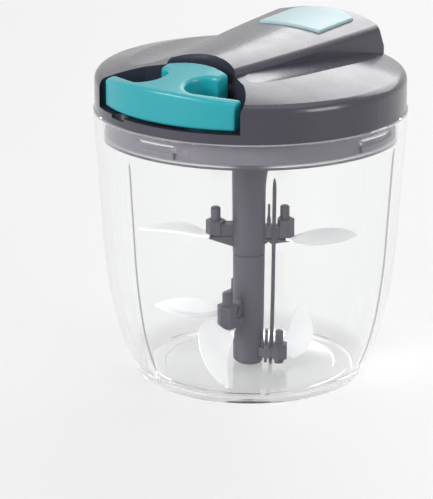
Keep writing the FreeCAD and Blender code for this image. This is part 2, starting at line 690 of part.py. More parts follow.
def make_cover():
    dishes = fuse("dishes", make_dish("right", "0"), make_dish("left", "0"))
    dome_outer = cut("dome_dished", spin("dome_outer", dome("0")), dishes)
    outer = fuse("cover_outer", dome_outer, make_ridge("ridge", "0"))
    bulges = fuse("dish_bulges", make_dish("right", "cover_wall"),
                  make_dish("left", "cover_wall"))
    dome_inner = cut("dome_bulged", spin("dome_inner", dome("cover_wall")), bulges)
    cavity = fuse("cover_cavity", dome_inner, make_ridge("ridge_inner", "cover_wall"))
    solid_inside = [
        extrude("dock_block", dock_outline("dock_wall"), DOCK_UNDER, ABOVE_ALL),
        extrude("button_tray", button_outline("(button_gap + dock_wall)"),
                "bowl_height + button_seat - dock_wall", ABOVE_ALL),
        cylinder("spool_post", "post_radius", POST_BOTTOM, ABOVE_ALL),
    ]
    for i, angle in enumerate(SCREW_DIRECTIONS):
        x, y = polar("screw_circle", angle)
        solid_inside.append(cylinder(f"screw_boss_{i}", "screw_boss", f"{PLATE_TOP} + 0.1",
                                     ABOVE_ALL, x, y))
    hollow = cut("cover_hollow", cavity, fuse("cover_inside", *solid_inside))
    shell = cut("cover_shell", outer, hollow)
    removed = [
        extrude("dock_space", dock_outline("0"), DOCK_FLOOR, ABOVE_ALL),
        extrude("button_space", button_outline("button_gap"),
                "bowl_height + button_seat", ABOVE_ALL),
        cylinder("stem_hole", "stem_radius + 0.4", PLATE_TOP, ABOVE_ALL, y="stem_y"),
        cylinder("post_hole", "post_screw_radius", f"{POST_BOTTOM} - 1",
                 f"{POST_BOTTOM} + post_screw_length"),
        guide_hole(),
        guide_seat(),
        lip_notch(),
    ]
    for i, angle in enumerate(SCREW_DIRECTIONS):
        x, y = polar("screw_circle", angle)
        removed.append(cylinder(f"screw_hole_{i}", "screw_radius", PLATE_TOP,
                                f"{PLATE_TOP} + screw_length", x, y))
    node("lid_cover", cut("lid_cover", shell, fuse("cover_removed", *removed)))


def guide_hole():
    """The hole for the cord guide through the dock's back wall."""
    hole = doc.addObject("Part::Cylinder", "guide_hole")
    bind(hole, "Radius", "guide_radius + running_gap")
    bind(hole, "Height", "dock_wall + 4")
    hole.Placement = Placement(ORIGIN, Rotation(Vector(1, 0, 0), 90))
    place(hole, "0", minus(f"{DOCK_BACK} - dock_wall - 2"), CORD_LEVEL)
    return hole


def guide_seat():
    """A flat seat for the cord guide's flange in the curved wall."""
    seat = doc.addObject("Part::Cylinder", "guide_seat")
    bind(seat, "Radius", "guide_flange + running_gap")
    bind(seat, "Height", "8")
    seat.Placement = Placement(ORIGIN, Rotation(Vector(1, 0, 0), 90))
    place(seat, "0", minus(f"{DOCK_BACK} - guide_sink"), CORD_LEVEL)
    return seat


def lip_notch():
    """The round notch in the dock's front lip under the handle."""
    x, y = polar(COVER, "-108")
    return cylinder("lip_notch", "4.2", f"{DOCK_FLOOR} - 1.2", ABOVE_ALL, x, y)


def make_dish(side, drop):
    """A shallow scoop in the dome beside the ridge, or its bulge inside the cover."""
    x, y, length, width, depth, turn = (
        f"{side}_dish_{value}" for value in ("x", "y", "length", "width", "depth", "turn"))
    across = f"(0.5 / max({depth} / {width}^2 - {DOME_BEND}; 0.0002))"
    along = f"(0.5 / max({DOME_BEND} - {depth} / {length}^2; 0.0002))"
    dish = doc.addObject("Part::Torus", f"{side}_dish")
    bind(dish, "Radius1", f"{along} + {across}")
    bind(dish, "Radius2", across)
    dish.Angle3 = 16.0
    lean = [f"(2 * {DOME_BEND} * {x})", f"(2 * {DOME_BEND} * {y})", "1"]
    upright = Rotation(UP, Vector(*[size(part) for part in lean]))
    lying = Rotation(Vector(0, 1, 0), -90) * Rotation(UP, -8)
    dish.Placement = Placement(ORIGIN, upright * Rotation(UP, size(turn)) * lying)
    surface = f"(bowl_height + dome_mid_height + (dome_mid_radius^2 - {x}^2 - {y}^2) * {DOME_BEND})"
    reach = f"({along} + {depth}) / sqrt(1 + {lean[0]}^2 + {lean[1]}^2)"
    place(dish, f"{x} - {lean[0]} * {reach}", f"{y} - {lean[1]} * {reach}",
          f"{surface} - {reach} - {drop}")
    return dish


# Lid base, seal and screws
def make_base():
    owner = new_body("lid_base")
    inner = f"{SKIRT} - skirt_wall"
    turn_profile(owner, "base_shell", [
        ("sleeve_radius + running_gap", PLATE_BOTTOM),
        (inner, PLATE_BOTTOM),
        (inner, SKIRT_BOTTOM),
        (SKIRT, SKIRT_BOTTOM),
        (SKIRT, "bowl_height + flange_lift"),
        (FLANGE, "bowl_height + flange_lift"),
        (FLANGE, "bowl_height + flange_lift + flange_thickness"),
        (inner, "bowl_height + flange_lift + flange_thickness"),
        (inner, PLATE_TOP),
        ("sleeve_radius + running_gap", PLATE_TOP),
    ])
    doc.recompute()
    lug = turn_profile(owner, "lug", [
        (f"{SKIRT} - skirt_wall / 2", f"{SKIRT_BOTTOM} + lug_lift"),
        (LUG, f"{SKIRT_BOTTOM} + lug_lift"),
        (LUG, f"{SKIRT_BOTTOM} + lug_lift + lug_thickness"),
        (f"{SKIRT} - skirt_wall / 2", f"{SKIRT_BOTTOM} + lug_lift + lug_thickness"),
    ], sweep="lug_sweep", turn="tab_turn")
    repeat(owner, "lugs", [lug], "tab_count")
    doc.recompute()
    removed = [cylinder("vent_hole", "vent_radius", f"{PLATE_BOTTOM} - 9",
                        f"{PLATE_TOP} + 1", y="stem_y")]
    for i, angle in enumerate(SCREW_DIRECTIONS):
        x, y = polar("screw_circle", angle)
        removed.append(cylinder(f"base_hole_{i}", "screw_radius + 0.1",
                                f"{PLATE_BOTTOM} - 9", f"{PLATE_TOP} + 1", x, y))
    node("lid_base", cut("lid_base_drilled", owner, fuse("base_removed", *removed)))


def make_seal():
    collar_outer = f"({SKIRT} - skirt_wall - seal_gap)"
    top = f"({SKIRT_BOTTOM} - seal_gap)"
    node("lid_seal", turned("lid_seal", [
        (f"{collar_outer} - seal_collar", f"{top} - seal_thickness"),
        (SEAL, f"{top} - seal_thickness"),
        (SEAL, top),
        (collar_outer, top),
        (collar_outer, f"{PLATE_BOTTOM} - seal_gap"),
        (f"{collar_outer} - seal_collar", f"{PLATE_BOTTOM} - seal_gap"),
    ]))


def make_screws():
    screws = []
    for i, angle in enumerate(SCREW_DIRECTIONS):
        x, y = polar("screw_circle", angle)
        head = cylinder(f"lid_screw_head_{i}", "screw_head",
                        f"{PLATE_BOTTOM} - screw_head_height", PLATE_BOTTOM, x, y)
        shank = cylinder(f"lid_screw_shank_{i}", "screw_radius - running_gap", PLATE_BOTTOM,
                         f"{PLATE_BOTTOM} + screw_length", x, y)
        slot = hexagon(f"lid_screw_socket_{i}", "screw_head",
                       f"{PLATE_BOTTOM} - screw_head_height",
                       f"{PLATE_BOTTOM} - screw_head_height / 3", x, y)
        screws.append(cut(f"lid_screw_{i}", fuse(f"lid_screw_blank_{i}", head, shank), slot))
    node("lid_screws", group("lid_screws", *screws))


# Handle
def make_handle():
    inner = f"({HANDLE_FRONT} - handle_bar)"
    end = "(handle_half - 0.8)"
    right, left = mirrored([
        ("handle_half", minus(front_y())),
        (end, minus(f"sqrt({inner} ^ 2 - {end} ^ 2)")),
        via(polar(inner, "-68")),
        ("grip_x", minus(f"{GRIP_Y} + grip_radius")),
        via(("grip_x - grip_radius", minus(GRIP_Y))),
        ("grip_x", minus(f"{GRIP_Y} - grip_radius")),
        ("handle_back_x", minus(HANDLE_CORNER_Y)),
    ])
    back = via(("0", minus(HANDLE_BACK)))
    front = via(("0", minus(HANDLE_FRONT)))
    outline = [*right, back, *left, front]
    blank = extrude("handle_blank", outline, HANDLE_BOTTOM, ABOVE_ALL)
    crest = "(bowl_height + handle_rise - 5 * tan(handle_slope))"
    side = "(handle_half + 8)"
    roof_sketch = free_sketch("handle_roof_profile", "XZ", [
        (side, f"{crest} - handle_crown"),
        (side, "bowl_height + 80"),
        (minus(side), "bowl_height + 80"),
        (minus(side), f"{crest} - handle_crown"),
        via(("0", crest)),
    ], minus(f"{HANDLE_FRONT} + 5"))
    roof = doc.addObject("Part::Extrusion", "handle_roof")
    roof.Base = roof_sketch
    roof.DirMode = "Custom"
    roof.Solid = True
    bind(roof, "Dir.y", "cos(handle_slope)")
    bind(roof, "Dir.z", "sin(handle_slope)")
    bind(roof, "LengthFwd", f"{HANDLE_FRONT} + 20")
    sloped = cut("handle_sloped", blank, roof)
    bore = doc.addObject("Part::Cylinder", "handle_bore")
    bind(bore, "Radius", "guide_bore")
    bind(bore, "Height", f"{KNOT_DEPTH} - 20")
    bore.Placement = Placement(ORIGIN, Rotation(Vector(1, 0, 0), 90))
    place(bore, "0", "-20", CORD_LEVEL)
    pocket = cylinder("knot_pocket", "knot_radius + 0.5", f"{HANDLE_BOTTOM} - 1",
                      f"{CORD_LEVEL} + knot_radius + 0.6", y=KNOT_Y)
    hollowed = cut("handle_hollowed", sloped, fuse("handle_holes", bore, pocket))
    far = f"({HANDLE_FRONT} + 20)"
    left_space = extrude("handle_left_space", [("0", minus(far)), ("0", far), (minus(far), far),
                                               (minus(far), minus(far))], "0", ABOVE_ALL)
    right_part = cut("handle_right", hollowed, left_space)
    doc.recompute()
    rounded = doc.addObject("Part::Fillet", "handle_rounded")
    rounded.Base = right_part
    edges = roof_edges(right_part.Shape)
    shortest = min(right_part.Shape.Edges[number - 1].Length for number in edges)
    radius = min(size("handle_edge"), 0.5 * shortest)
    rounded.Edges = [(number, radius, radius) for number in edges]
    left_part = doc.addObject("Part::Mirroring", "handle_left")
    left_part.Source = rounded
    left_part.Normal = Vector(1, 0, 0)
    whole = fuse("handle_whole", rounded, left_part)
    whole.Refine = True
    node("pull_handle", whole)


def front_y():
    """Distance of the front bar's corners from the X axis."""
    return f"sqrt({HANDLE_FRONT} ^ 2 - handle_half ^ 2)"


def roof_edges(shape):
    """Numbers of the edges round the handle's sloping top."""
    front, slope = size(HANDLE_FRONT), math.tan(math.radians(size("handle_slope")))
    low = size("bowl_height + handle_rise - handle_crown - 0.1")
    return [number for number, edge in enumerate(shape.Edges, start=1)
            if all(end.Z > low + (end.Y + front) * slope for end in edge.Vertexes)
            and edge.BoundBox.XMax > 0.01]


# Cord
def make_cord():
    """The cord from the spool through its guide to the knot in the handle."""
    reach = size("wound_radius")
    bend = size("cord_bend")
    level = size(CORD_LEVEL)
    end = size(KNOT_Y) + size("knot_radius") * 0.8
    centre = Vector(-bend, -size(DOCK_BACK) - 1.1, level)
    spread = math.hypot(centre.x, centre.y)
    toward = math.atan2(centre.y, centre.x) - math.acos((reach + bend) / spread)
    normal = Vector(math.cos(toward), math.sin(toward), 0)
    off_spool = normal * reach + Vector(0, 0, level)
    into_bend = centre - normal * bend
    out_of_bend = centre + Vector(bend, 0, 0)
    half_way = math.atan2(-normal.y, -normal.x) / 2
    middle = centre + Vector(math.cos(half_way), math.sin(half_way), 0) * bend
    path = Part.Wire([
        Part.LineSegment(off_spool, into_bend).toShape(),
        Part.Arc(into_bend, middle, out_of_bend).toShape(),
        Part.LineSegment(out_of_bend, Vector(0, end, level)).toShape(),
    ])
    heading = (into_bend - off_spool).normalize()
    section = Part.Wire([Part.Circle(off_spool, heading, size("cord_radius")).toShape()])
    tube = path.makePipeShell([section], True, False)
    wound = Part.makeCylinder(reach + size("cord_radius") + 0.05, 10,
                              Vector(0, 0, level - 5))
    tube = tube.cut(wound)
    print("cord bend radius", bend, "free stretch", round(path.Length, 2),
          "volume ratio", round(tube.Volume / (path.Length * math.pi
                                               * size("cord_radius") ** 2), 3))
    node("pull_cord", feature("pull_cord", tube))


def make_knot():
    ball = doc.addObject("Part::Sphere", "knot_ball")
    bind(ball, "Radius", "knot_radius")
    place(ball, "0", KNOT_Y, CORD_LEVEL)
    face = doc.addObject("Part::Box", "knot_face")
    for side in ("Length", "Width", "Height"):
        bind(face, side, "knot_radius * 4")
    place(face, "knot_radius * -2", f"{KNOT_Y} + knot_radius * 0.8",
          f"{CORD_LEVEL} - knot_radius * 2")
    node("cord_knot", cut("cord_knot", ball, face))


def make_guide():
    """The flanged eyelet with a bell mouth, turned and laid along the cord."""
    front = f"({DOCK_BACK} + 3.9)"
    inside = f"({DOCK_BACK} - dock_wall - 0.2)"
    owner = new_body("cord_guide")
    turn_profile(owner, "guide_turned", [
        ("guide_bore + 1.1", f"-{inside}"),
        ("guide_radius", f"-{inside}"),
        ("guide_radius", f"-({DOCK_BACK} - guide_sink)"),
        ("guide_flange", f"-({DOCK_BACK} - guide_sink)"),
        ("guide_flange", f"-({DOCK_BACK} + 1.0)"),
        ("guide_radius - 0.5", f"-({DOCK_BACK} + 1.0)"),
        ("guide_radius - 0.5", f"-{front}"),
        ("guide_bore", f"-{front}"),
        ("guide_bore", f"-({DOCK_BACK} + 1.3)"),
    ])
    owner.Placement = Placement(ORIGIN, Rotation(Vector(1, 0, 0), -90))
    place(owner, "0", "0", CORD_LEVEL)
    node("cord_guide", owner)


def make_winding():
    """The wound cord on the spool, as its outer shape."""
    inner = "wound_radius - cord_radius"
    outer = "wound_radius + cord_radius"
    node("cord_winding", turned("cord_winding", [
        (inner, f"{GROOVE_BOTTOM} + 0.1"),
        (outer, f"{GROOVE_BOTTOM} + 0.1"),
        (outer, f"{GROOVE_TOP} - 0.1"),
        (inner, f"{GROOVE_TOP} - 0.1"),
    ]))


# Spool, spring and clutch
def tooth_ring():
    """Inside outline of the ratchet ring: saw teeth that push the pawls one way."""
    outline = []
    pitch = 360.0 / size("tooth_count")
    for i in range(round(size("tooth_count"))):
        start = i * pitch
        outline.append(polar("tooth_tip", start))
        outline.append(polar("tooth_root", start + 3))
        outline.append(via(polar("(tooth_root * 0.5 + tooth_tip * 0.5)", start + pitch / 2)))
    return outline


def make_spool():
    drum = "(wound_radius - cord_radius - 0.02)"
    blank = spin("spool_blank", [
        ("post_radius + running_gap", WEB_BOTTOM),
        ("tooth_tip - 1", WEB_BOTTOM),
        ("tooth_tip - 1", f"{DISC_TOP} + 0.3"),
        ("ring_radius", f"{DISC_TOP} + 0.3"),
        ("ring_radius", f"{GROOVE_BOTTOM} - spool_flange_thickness"),
        ("spool_flange", f"{GROOVE_BOTTOM} - spool_flange_thickness"),
        ("spool_flange", GROOVE_BOTTOM),
        (drum, GROOVE_BOTTOM),
        (drum, GROOVE_TOP),
        ("spool_flange", GROOVE_TOP),
        ("spool_flange", SPOOL_TOP),
        ("cup_radius + 0.8", SPOOL_TOP),
        ("cup_radius + 0.8", f"{SPOOL_TOP} - 0.8"),
        ("cup_radius", f"{SPOOL_TOP} - 0.8"),
        ("cup_radius", WEB_TOP),
        ("post_radius + running_gap", WEB_TOP),
    ])
    chamber = extrude("ratchet_chamber", tooth_ring(), f"{DISC_TOP} - 1", WEB_BOTTOM)
    node("cord_spool", cut("cord_spool", blank, chamber))


def make_spring_cover():
    inner = "spring_inner + 0.6"
    node("spring_cover", turned("spring_cover", [
        (inner, f"{SPOOL_TOP} - 0.75"),
        ("cup_radius + 0.75", f"{SPOOL_TOP} - 0.75"),
        ("cup_radius + 0.75", SPOOL_TOP),
        (inner, SPOOL_TOP),
    ]))


def make_recoil_spring():
    """A flat strip wound in half turns, each a little wider than the last."""
    turns = round(size("spring_turns"))
    strip = size("spring_strip")
    first = size("spring_inner")
    step = (size("spring_outer") - first - strip) / (2 * turns)
    edges = []
    for offset in (0.0, strip):
        x = first + offset
        side = 1
        run = []
        for _ in range(2 * turns):
            following = -side * (abs(x) + step)
            middle = (x + following) / 2
            radius = abs(following - x) / 2
            run.append(Part.Arc(Vector(x, 0, 0), Vector(middle, side * radius, 0),
                                Vector(following, 0, 0)).toShape())
            x = following
            side = -side
        edges.append((run, Vector(first + offset, 0, 0), Vector(x, 0, 0)))
    (inner, inner_start, inner_end), (outer, outer_start, outer_end) = edges
    outline = Part.Wire(Part.__sortEdges__(inner + outer + [
        Part.LineSegment(inner_start, outer_start).toShape(),
        Part.LineSegment(inner_end, outer_end).toShape(),
    ]))
    ribbon = Part.Face(outline).extrude(Vector(0, 0, size("spring_height")))
    thing = feature("recoil_spring", ribbon)
    thing.Placement = Placement(Vector(0, 0, size(f"{WEB_TOP} + 0.3")), Rotation())
    node("recoil_spring", thing)


def make_washer_and_screw():
    top = POST_BOTTOM
    node("spool_washer", turned("spool_washer", [
        ("post_screw_radius + 0.1", f"{top} - washer_thickness"),
        ("washer_radius", f"{top} - washer_thickness"),
        ("washer_radius", top),
        ("post_screw_radius + 0.1", top),
    ]))
    under = f"({top} - washer_thickness)"
    node("spool_screw", turned("spool_screw", [
        ("0", f"{under} - 1.2"),
        ("1.0", f"{under} - 1.2"),
        ("1.0", f"{under} - 1.8"),
        ("post_screw_radius * 2", f"{under} - 1.8"),
        ("post_screw_radius * 2", under),
        ("post_screw_radius - running_gap", under),
        ("post_screw_radius - running_gap", f"{top} + post_screw_length - 1"),
        ("0", f"{top} + post_screw_length - 0.2"),
    ]))


PAWL_POST = 50.0


def make_socket():
    blank = spin("socket_blank", [
        ("0", f"{HEX_TOP} + 0.5"),
        ("0", BOSS_TOP),
        ("socket_boss", BOSS_TOP),
        ("socket_boss", DISC_TOP),
        ("disc_radius", DISC_TOP),
        ("disc_radius", DISC_BOTTOM),
        ("sleeve_radius + 3", DISC_BOTTOM),
        ("sleeve_radius + 3", f"{PLATE_TOP} + 0.2"),
        ("sleeve_radius", f"{PLATE_TOP} + 0.2"),
        ("sleeve_radius", f"{SKIRT_BOTTOM} + 0.3"),
        ("2", f"{SKIRT_BOTTOM} + 0.3"),
        ("2", f"{HEX_TOP} + 0.5"),
    ])
    posts = []
    for i in range(2):
        x, y = polar("pawl_circle", PAWL_POST + 180 * i)
        posts.append(cylinder(f"pawl_post_{i}", "pawl_post", f"{DISC_TOP} - 0.5",
                              f"{DISC_TOP} + pawl_height + 0.5", x, y))
    bore = hexagon("socket_hex", "drive_hex + hex_gap * 2", f"{SKIRT_BOTTOM} - 1",
                   f"{HEX_TOP} + 0.5")
    node("drive_socket", cut("drive_socket", fuse("socket_solid", blank, *posts), bore))


def make_pawls():
    """Two pawls that lie against the ratchet teeth."""
    nose = polar("tooth_root - 0.35", "5.2")
    heel = polar("tooth_tip + 0.1", "4.0")
    pivot = polar("pawl_circle", PAWL_POST)
    for i, name in enumerate(("clutch_pawl_front", "clutch_pawl_rear")):
        arm = extrude(name + "_arm", [
            nose,
            polar("tooth_root - 0.55", "13"),
            (f"{pivot[0]} + pawl_half * 0.6", f"{pivot[1]} + pawl_half * 0.8"),
            (f"{pivot[0]} - pawl_half * 0.6", f"{pivot[1]} - pawl_half * 0.8"),
            polar("tooth_tip - 1.5", "3.4"),
            heel,
        ], f"{DISC_TOP} + 0.2", f"{DISC_TOP} + 0.2 + pawl_height")
        eye = cylinder(name + "_eye", "pawl_half + 0.9", f"{DISC_TOP} + 0.2",
                       f"{DISC_TOP} + 0.2 + pawl_height", *pivot)
        hole = cylinder(name + "_hole", "pawl_post + running_gap", DISC_TOP,
                        f"{DISC_TOP} + 1 + pawl_height", *pivot)
        pawl = cut(name, fuse(name + "_blank", arm, eye), hole)
        pawl.Placement = Placement(ORIGIN, Rotation(UP, 180.0 * i))
        node(name, pawl)


def make_pawl_springs():
    """Two leaf springs on the drive socket's boss that press the pawls outwards."""
    leaves = []
    for i in range(2):
        leaf = extrude(f"pawl_leaf_{i}", [
            polar("socket_boss + 0.05", "35"),
            polar("socket_boss + 0.45", "35"),
            polar("socket_boss + 1.7", "14"),
            polar("tooth_tip - 3.6", "6"),
            polar("tooth_tip - 4.0", "6"),
            polar("socket_boss + 1.2", "14"),
        ], f"{DISC_TOP} + 0.3", f"{DISC_TOP} + pawl_height")
        leaf.Placement = Placement(ORIGIN, Rotation(UP, 180.0 * i))
        leaves.append(leaf)
    node("pawl_springs", group("pawl_springs", *leaves))


# Release button and vent
def make_button():
    plate = extrude("button_plate", button_outline("0"), "bowl_height + button_base",
                    ABOVE_ALL)
    crown = make_ridge("button_crown", "(0 - button_proud)")
    cap = common("button_cap", plate, crown)
    stem = cylinder("button_stem", "stem_radius", f"{PLATE_TOP} + 1",
                    "bowl_height + button_base + 0.5", y="stem_y")
    collar = cylinder("button_collar", "stem_collar", f"{PLATE_TOP} + 11",
                      f"{PLATE_TOP} + 12.5", y="stem_y")
    socket = cylinder("button_socket", "1.6", PLATE_TOP, f"{PLATE_TOP} + 6", y="stem_y")
    solid = fuse("button_solid", cap, stem, collar)
    node("release_button", cut("release_button", solid, socket))


def make_button_spring():
    outer = cylinder("button_spring_outer", "stem_radius + 1.9", f"{PLATE_TOP} + 0.3",
                     f"{PLATE_TOP} + 10.8", y="stem_y")
    inner = cylinder("button_spring_inner", "stem_radius + 1.0", PLATE_TOP,
                     f"{PLATE_TOP} + 12", y="stem_y")
    node("button_spring", cut("button_spring", outer, inner))


def make_vent_plug():
    disc = cylinder("vent_disc", "vent_plug_radius", f"{PLATE_BOTTOM} - 1.7",
                    f"{PLATE_BOTTOM} - 0.3", y="stem_y")
    neck = cylinder("vent_neck", "1.55", f"{PLATE_BOTTOM} - 1", f"{PLATE_TOP} + 5.8",
                    y="stem_y")
    node("vent_plug", fuse("vent_plug", disc, neck))


# Blade unit
def arm_end(name, blade):
    """An arm with the blade's block on its end and a fin along the hub."""
    direction, height, thickness, tall, fin = blade[1], blade[2], *blade[9:12]
    reach = size("blade_circle")
    half = size("block_flats") / 2
    bottom = height + size("blade_thickness")
    bar = Part.makeBox(reach, half * 1.6, thickness, Vector(0, -half * 0.8, bottom))
    corner = Vector(half / math.cos(math.pi / 6), 0, bottom)
    corners = [Rotation(UP, 60 * i).multVec(corner) + Vector(reach, 0, 0) for i in range(7)]
    block = Part.Face(Part.makePolygon(corners)).extrude(Vector(0, 0, tall))
    if fin > 0:
        side, edge_thickness = size("fin_thickness") / 2, 0.0
        level, foot, neck = bottom + thickness, reach - half - 0.6, size("hub_radius") - 1
    else:
        side, edge_thickness = half * 0.8, 0.6
        level, foot, neck = height, reach + half * 0.8, size("hub_radius")
    edge = [Vector(0, -side, level), Vector(foot, -side, level),
            Vector(foot, -side, level - edge_thickness),
            Vector(neck, -side, level + fin), Vector(0, -side, level + fin)]
    edge = edge[:2] + edge[3:] if fin > 0 else edge
    rib = Part.Face(Part.makePolygon([*edge, edge[0]])).extrude(Vector(0, 2 * side, 0))
    arm = bar.fuse([block, rib]).removeSplitter()
    arm = arm.cut([Part.makeCylinder(size("post_shank + running_gap"), tall + 2,
                                     Vector(reach, 0, bottom - 1)),
                   Part.makeCylinder(size("post_head + running_gap"), 6,
                                     Vector(reach, 0, height - 6))])
    thing = feature(name, arm)
    thing.Placement = Placement(ORIGIN, Rotation(UP, direction))
    return thing


def make_upper_hub():
    body = spin("upper_hub_turned", [
        ("spigot_radius + running_gap", "joint_height"),
        ("hub_radius - 0.3", "joint_height"),
        ("hub_radius", "joint_height + 0.4"),
        ("shaft_radius", SHAFT_TOP),
        ("0", SHAFT_TOP),
        ("0", "joint_height + spigot_length + 0.3"),
        ("spigot_radius + running_gap", "joint_height + spigot_length + 0.3"),
    ])
    key = hexagon("upper_hub_hex", "drive_hex", f"{SHAFT_TOP} - 1", HEX_TOP)
    arms = [arm_end(f"{blade[0]}_arm", blade) for blade in BLADES[:2]]
    bore = cylinder("upper_hub_bore", "spigot_radius + running_gap", "joint_height - 1",
                    "joint_height + spigot_length + 0.3")
    node("upper_hub", cut("upper_hub", fuse("upper_hub_solid", body, key, *arms), bore))


def make_lower_hub():
    spigot_top = "(joint_height + spigot_length)"
    body = spin("lower_hub_turned", [
        ("0", HUB_BOTTOM),
        ("hub_foot_radius - 1.5", HUB_BOTTOM),
        via(("hub_foot_radius - 0.44", f"{HUB_BOTTOM} + 0.44")),
        ("hub_foot_radius", f"{HUB_BOTTOM} + 1.5"),
        ("hub_radius - 0.1", "joint_height - 0.5"),
        ("hub_radius - 0.4", "joint_height - 0.1"),
        ("spigot_radius", "joint_height - 0.1"),
        ("spigot_radius", f"{spigot_top} - 1"),
        ("spigot_radius - 1", spigot_top),
        ("0", spigot_top),
    ])
    arms = [arm_end(f"{blade[0]}_arm", blade) for blade in BLADES[2:]]
    seat = cylinder("boss_space", "pin_boss_radius + 0.4", f"{HUB_BOTTOM} - 1",
                    "floor_top + pin_boss_height + 0.4")
    bore = cylinder("bush_space", "bush_radius", f"{HUB_BOTTOM} - 1", f"{PIN_TOP} + 2")
    solid = fuse("lower_hub_solid", body, *arms)
    node("lower_hub", cut("lower_hub", solid, fuse("lower_hub_bores", seat, bore)))


def make_bush():
    bottom = "floor_top + pin_boss_height + 0.4"
    node("pivot_bush", turned("pivot_bush", [
        ("pin_radius + running_gap", bottom),
        ("bush_radius", bottom),
        ("bush_radius", f"{PIN_TOP} + 1"),
        ("pin_radius + running_gap", f"{PIN_TOP} + 1"),
    ]))


def sickle(length, bulge, hollow, outwards, inwards):
    """Plan of a blade along +X: one long edge bulges, the other is flatter or hollow."""
    side = 1 if bulge > 0 else -1
    outer_root, inner_root = Vector(0, side * outwards, 0), Vector(0, -side * inwards, 0)
    outer = Vector(length - 0.7, side * 1.3, 0)
    inner = Vector(length - 1.0, side * -0.9, 0)
    return Part.Wire([
        Part.Arc(outer_root, Vector(length * 0.48, bulge, 0), outer).toShape(),
        Part.Arc(outer, Vector(length, side * 0.15, 0), inner).toShape(),
        Part.Arc(inner, Vector(length * 0.5, hollow, 0), inner_root).toShape(),
        Part.LineSegment(inner_root, outer_root).toShape(),
    ])


def make_blade(blade):
    """A steel blade: an eye on the post, a twisted neck, then a tilted sickle."""
    name, direction, height, heading, length, rise, twist, bulge, hollow = blade[:9]
    neck, outwards, inwards = blade[12:]
    thick = size("blade_thickness")
    side = 1 if bulge > 0 else -1
    half = size("block_flats") * 0.42
    clear = size("block_flats") / 2 / math.cos(math.pi / 6) + 0.05
    eye = Part.makeCylinder(size("block_flats") / 2, thick)
    flat = Part.makeBox(clear, 2 * half, thick, Vector(0, -half, 0))
    root = Vector(neck, 0, thick / 2)
    tilt = Rotation(Vector(0, 1, 0), -rise) * Rotation(Vector(1, 0, 0), twist)
    plan = sickle(length - neck, bulge, hollow, outwards, inwards)
    leaf = Part.Face(plan).extrude(Vector(0, 0, thick))
    leaf.translate(Vector(0, 0, -thick / 2))
    leaf.Placement = Placement(root, tilt).multiply(leaf.Placement)
    start = [Vector(clear, side * half, 0), Vector(clear, -side * half, 0),
             Vector(clear, -side * half, thick), Vector(clear, side * half, thick)]
    ends = [(outwards, -0.5), (-inwards, -0.5), (-inwards, 0.5), (outwards, 0.5)]
    finish = [tilt.multVec(Vector(0, side * y, z * thick)) + root for y, z in ends]
    bend = Part.makeLoft([Part.makePolygon([*start, start[0]]),
                          Part.makePolygon([*finish, finish[0]])], True, True)
    steel = eye.fuse([flat, bend, leaf])
    steel = steel.cut(Part.makeCylinder(size("post_shank + 0.1"), 8, Vector(0, 0, -4)))
    thing = feature(name, steel)
    spot = Rotation(UP, direction).multVec(Vector(size("blade_circle"), 0, height))
    thing.Placement = Placement(spot, Rotation(UP, heading))
    node(name, thing)


def make_posts(name, blades):
    """Posts through blade and block: a head under the blade and a pin above the block."""
    posts = []
    for blade in blades:
        label, direction, height, tall = blade[0], blade[1], blade[2], blade[10]
        x, y = polar("blade_circle", direction)
        top = f"(blade_thickness + {tall})"
        post = spin(label + "_post", [
            ("0", "-post_head_height"),
            ("post_head", "-post_head_height"),
            ("post_head", "0"),
            ("post_shank", "0"),
            ("post_shank", top),
            ("post_pin", top),
            ("post_pin", f"{top} + pin_rise - 0.5"),
            ("post_pin - 0.5", f"{top} + pin_rise"),
            ("0", f"{top} + pin_rise"),
        ])
        place(post, x, y, f"{height}")
        posts.append(post)
    node(name, group(name, *posts))


make_bowl()
make_pivot_pin()
make_cover()
make_base()
make_seal()
make_screws()
make_handle()
make_cord()
make_knot()
make_guide()
make_winding()
make_spool()
make_spring_cover()
make_recoil_spring()
make_washer_and_screw()
make_socket()
make_pawls()
make_pawl_springs()
make_button()
make_button_spring()
make_vent_plug()
make_upper_hub()
make_lower_hub()
make_bush()
for blade in BLADES:
    make_blade(blade)
make_posts("upper_blade_posts", BLADES[:2])
make_posts("lower_blade_posts", BLADES[2:])
doc.recompute()

# Every object has to be sound before anything is written
for thing in doc.Objects:
    if "Invalid" in thing.State or "Error" in thing.State:
        raise RuntimeError(f"{thing.Label} failed: {thing.State}")
for name, thing in nodes.items():
    shape = thing.Shape
    if shape.isNull() or not shape.isValid() or not shape.Solids:
        raise RuntimeError(f"{name} is not a sound solid")

os.makedirs("parts", exist_ok=True)
for name, thing in nodes.items():
    thing.Shape.exportStep(f"parts/{name}.step")
    print(f"{name:22s} solids {len(thing.Shape.Solids)} volume {thing.Shape.Volume:10.1f}")
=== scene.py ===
import json
import math

import bmesh
import bpy
from mathutils import Matrix, Vector


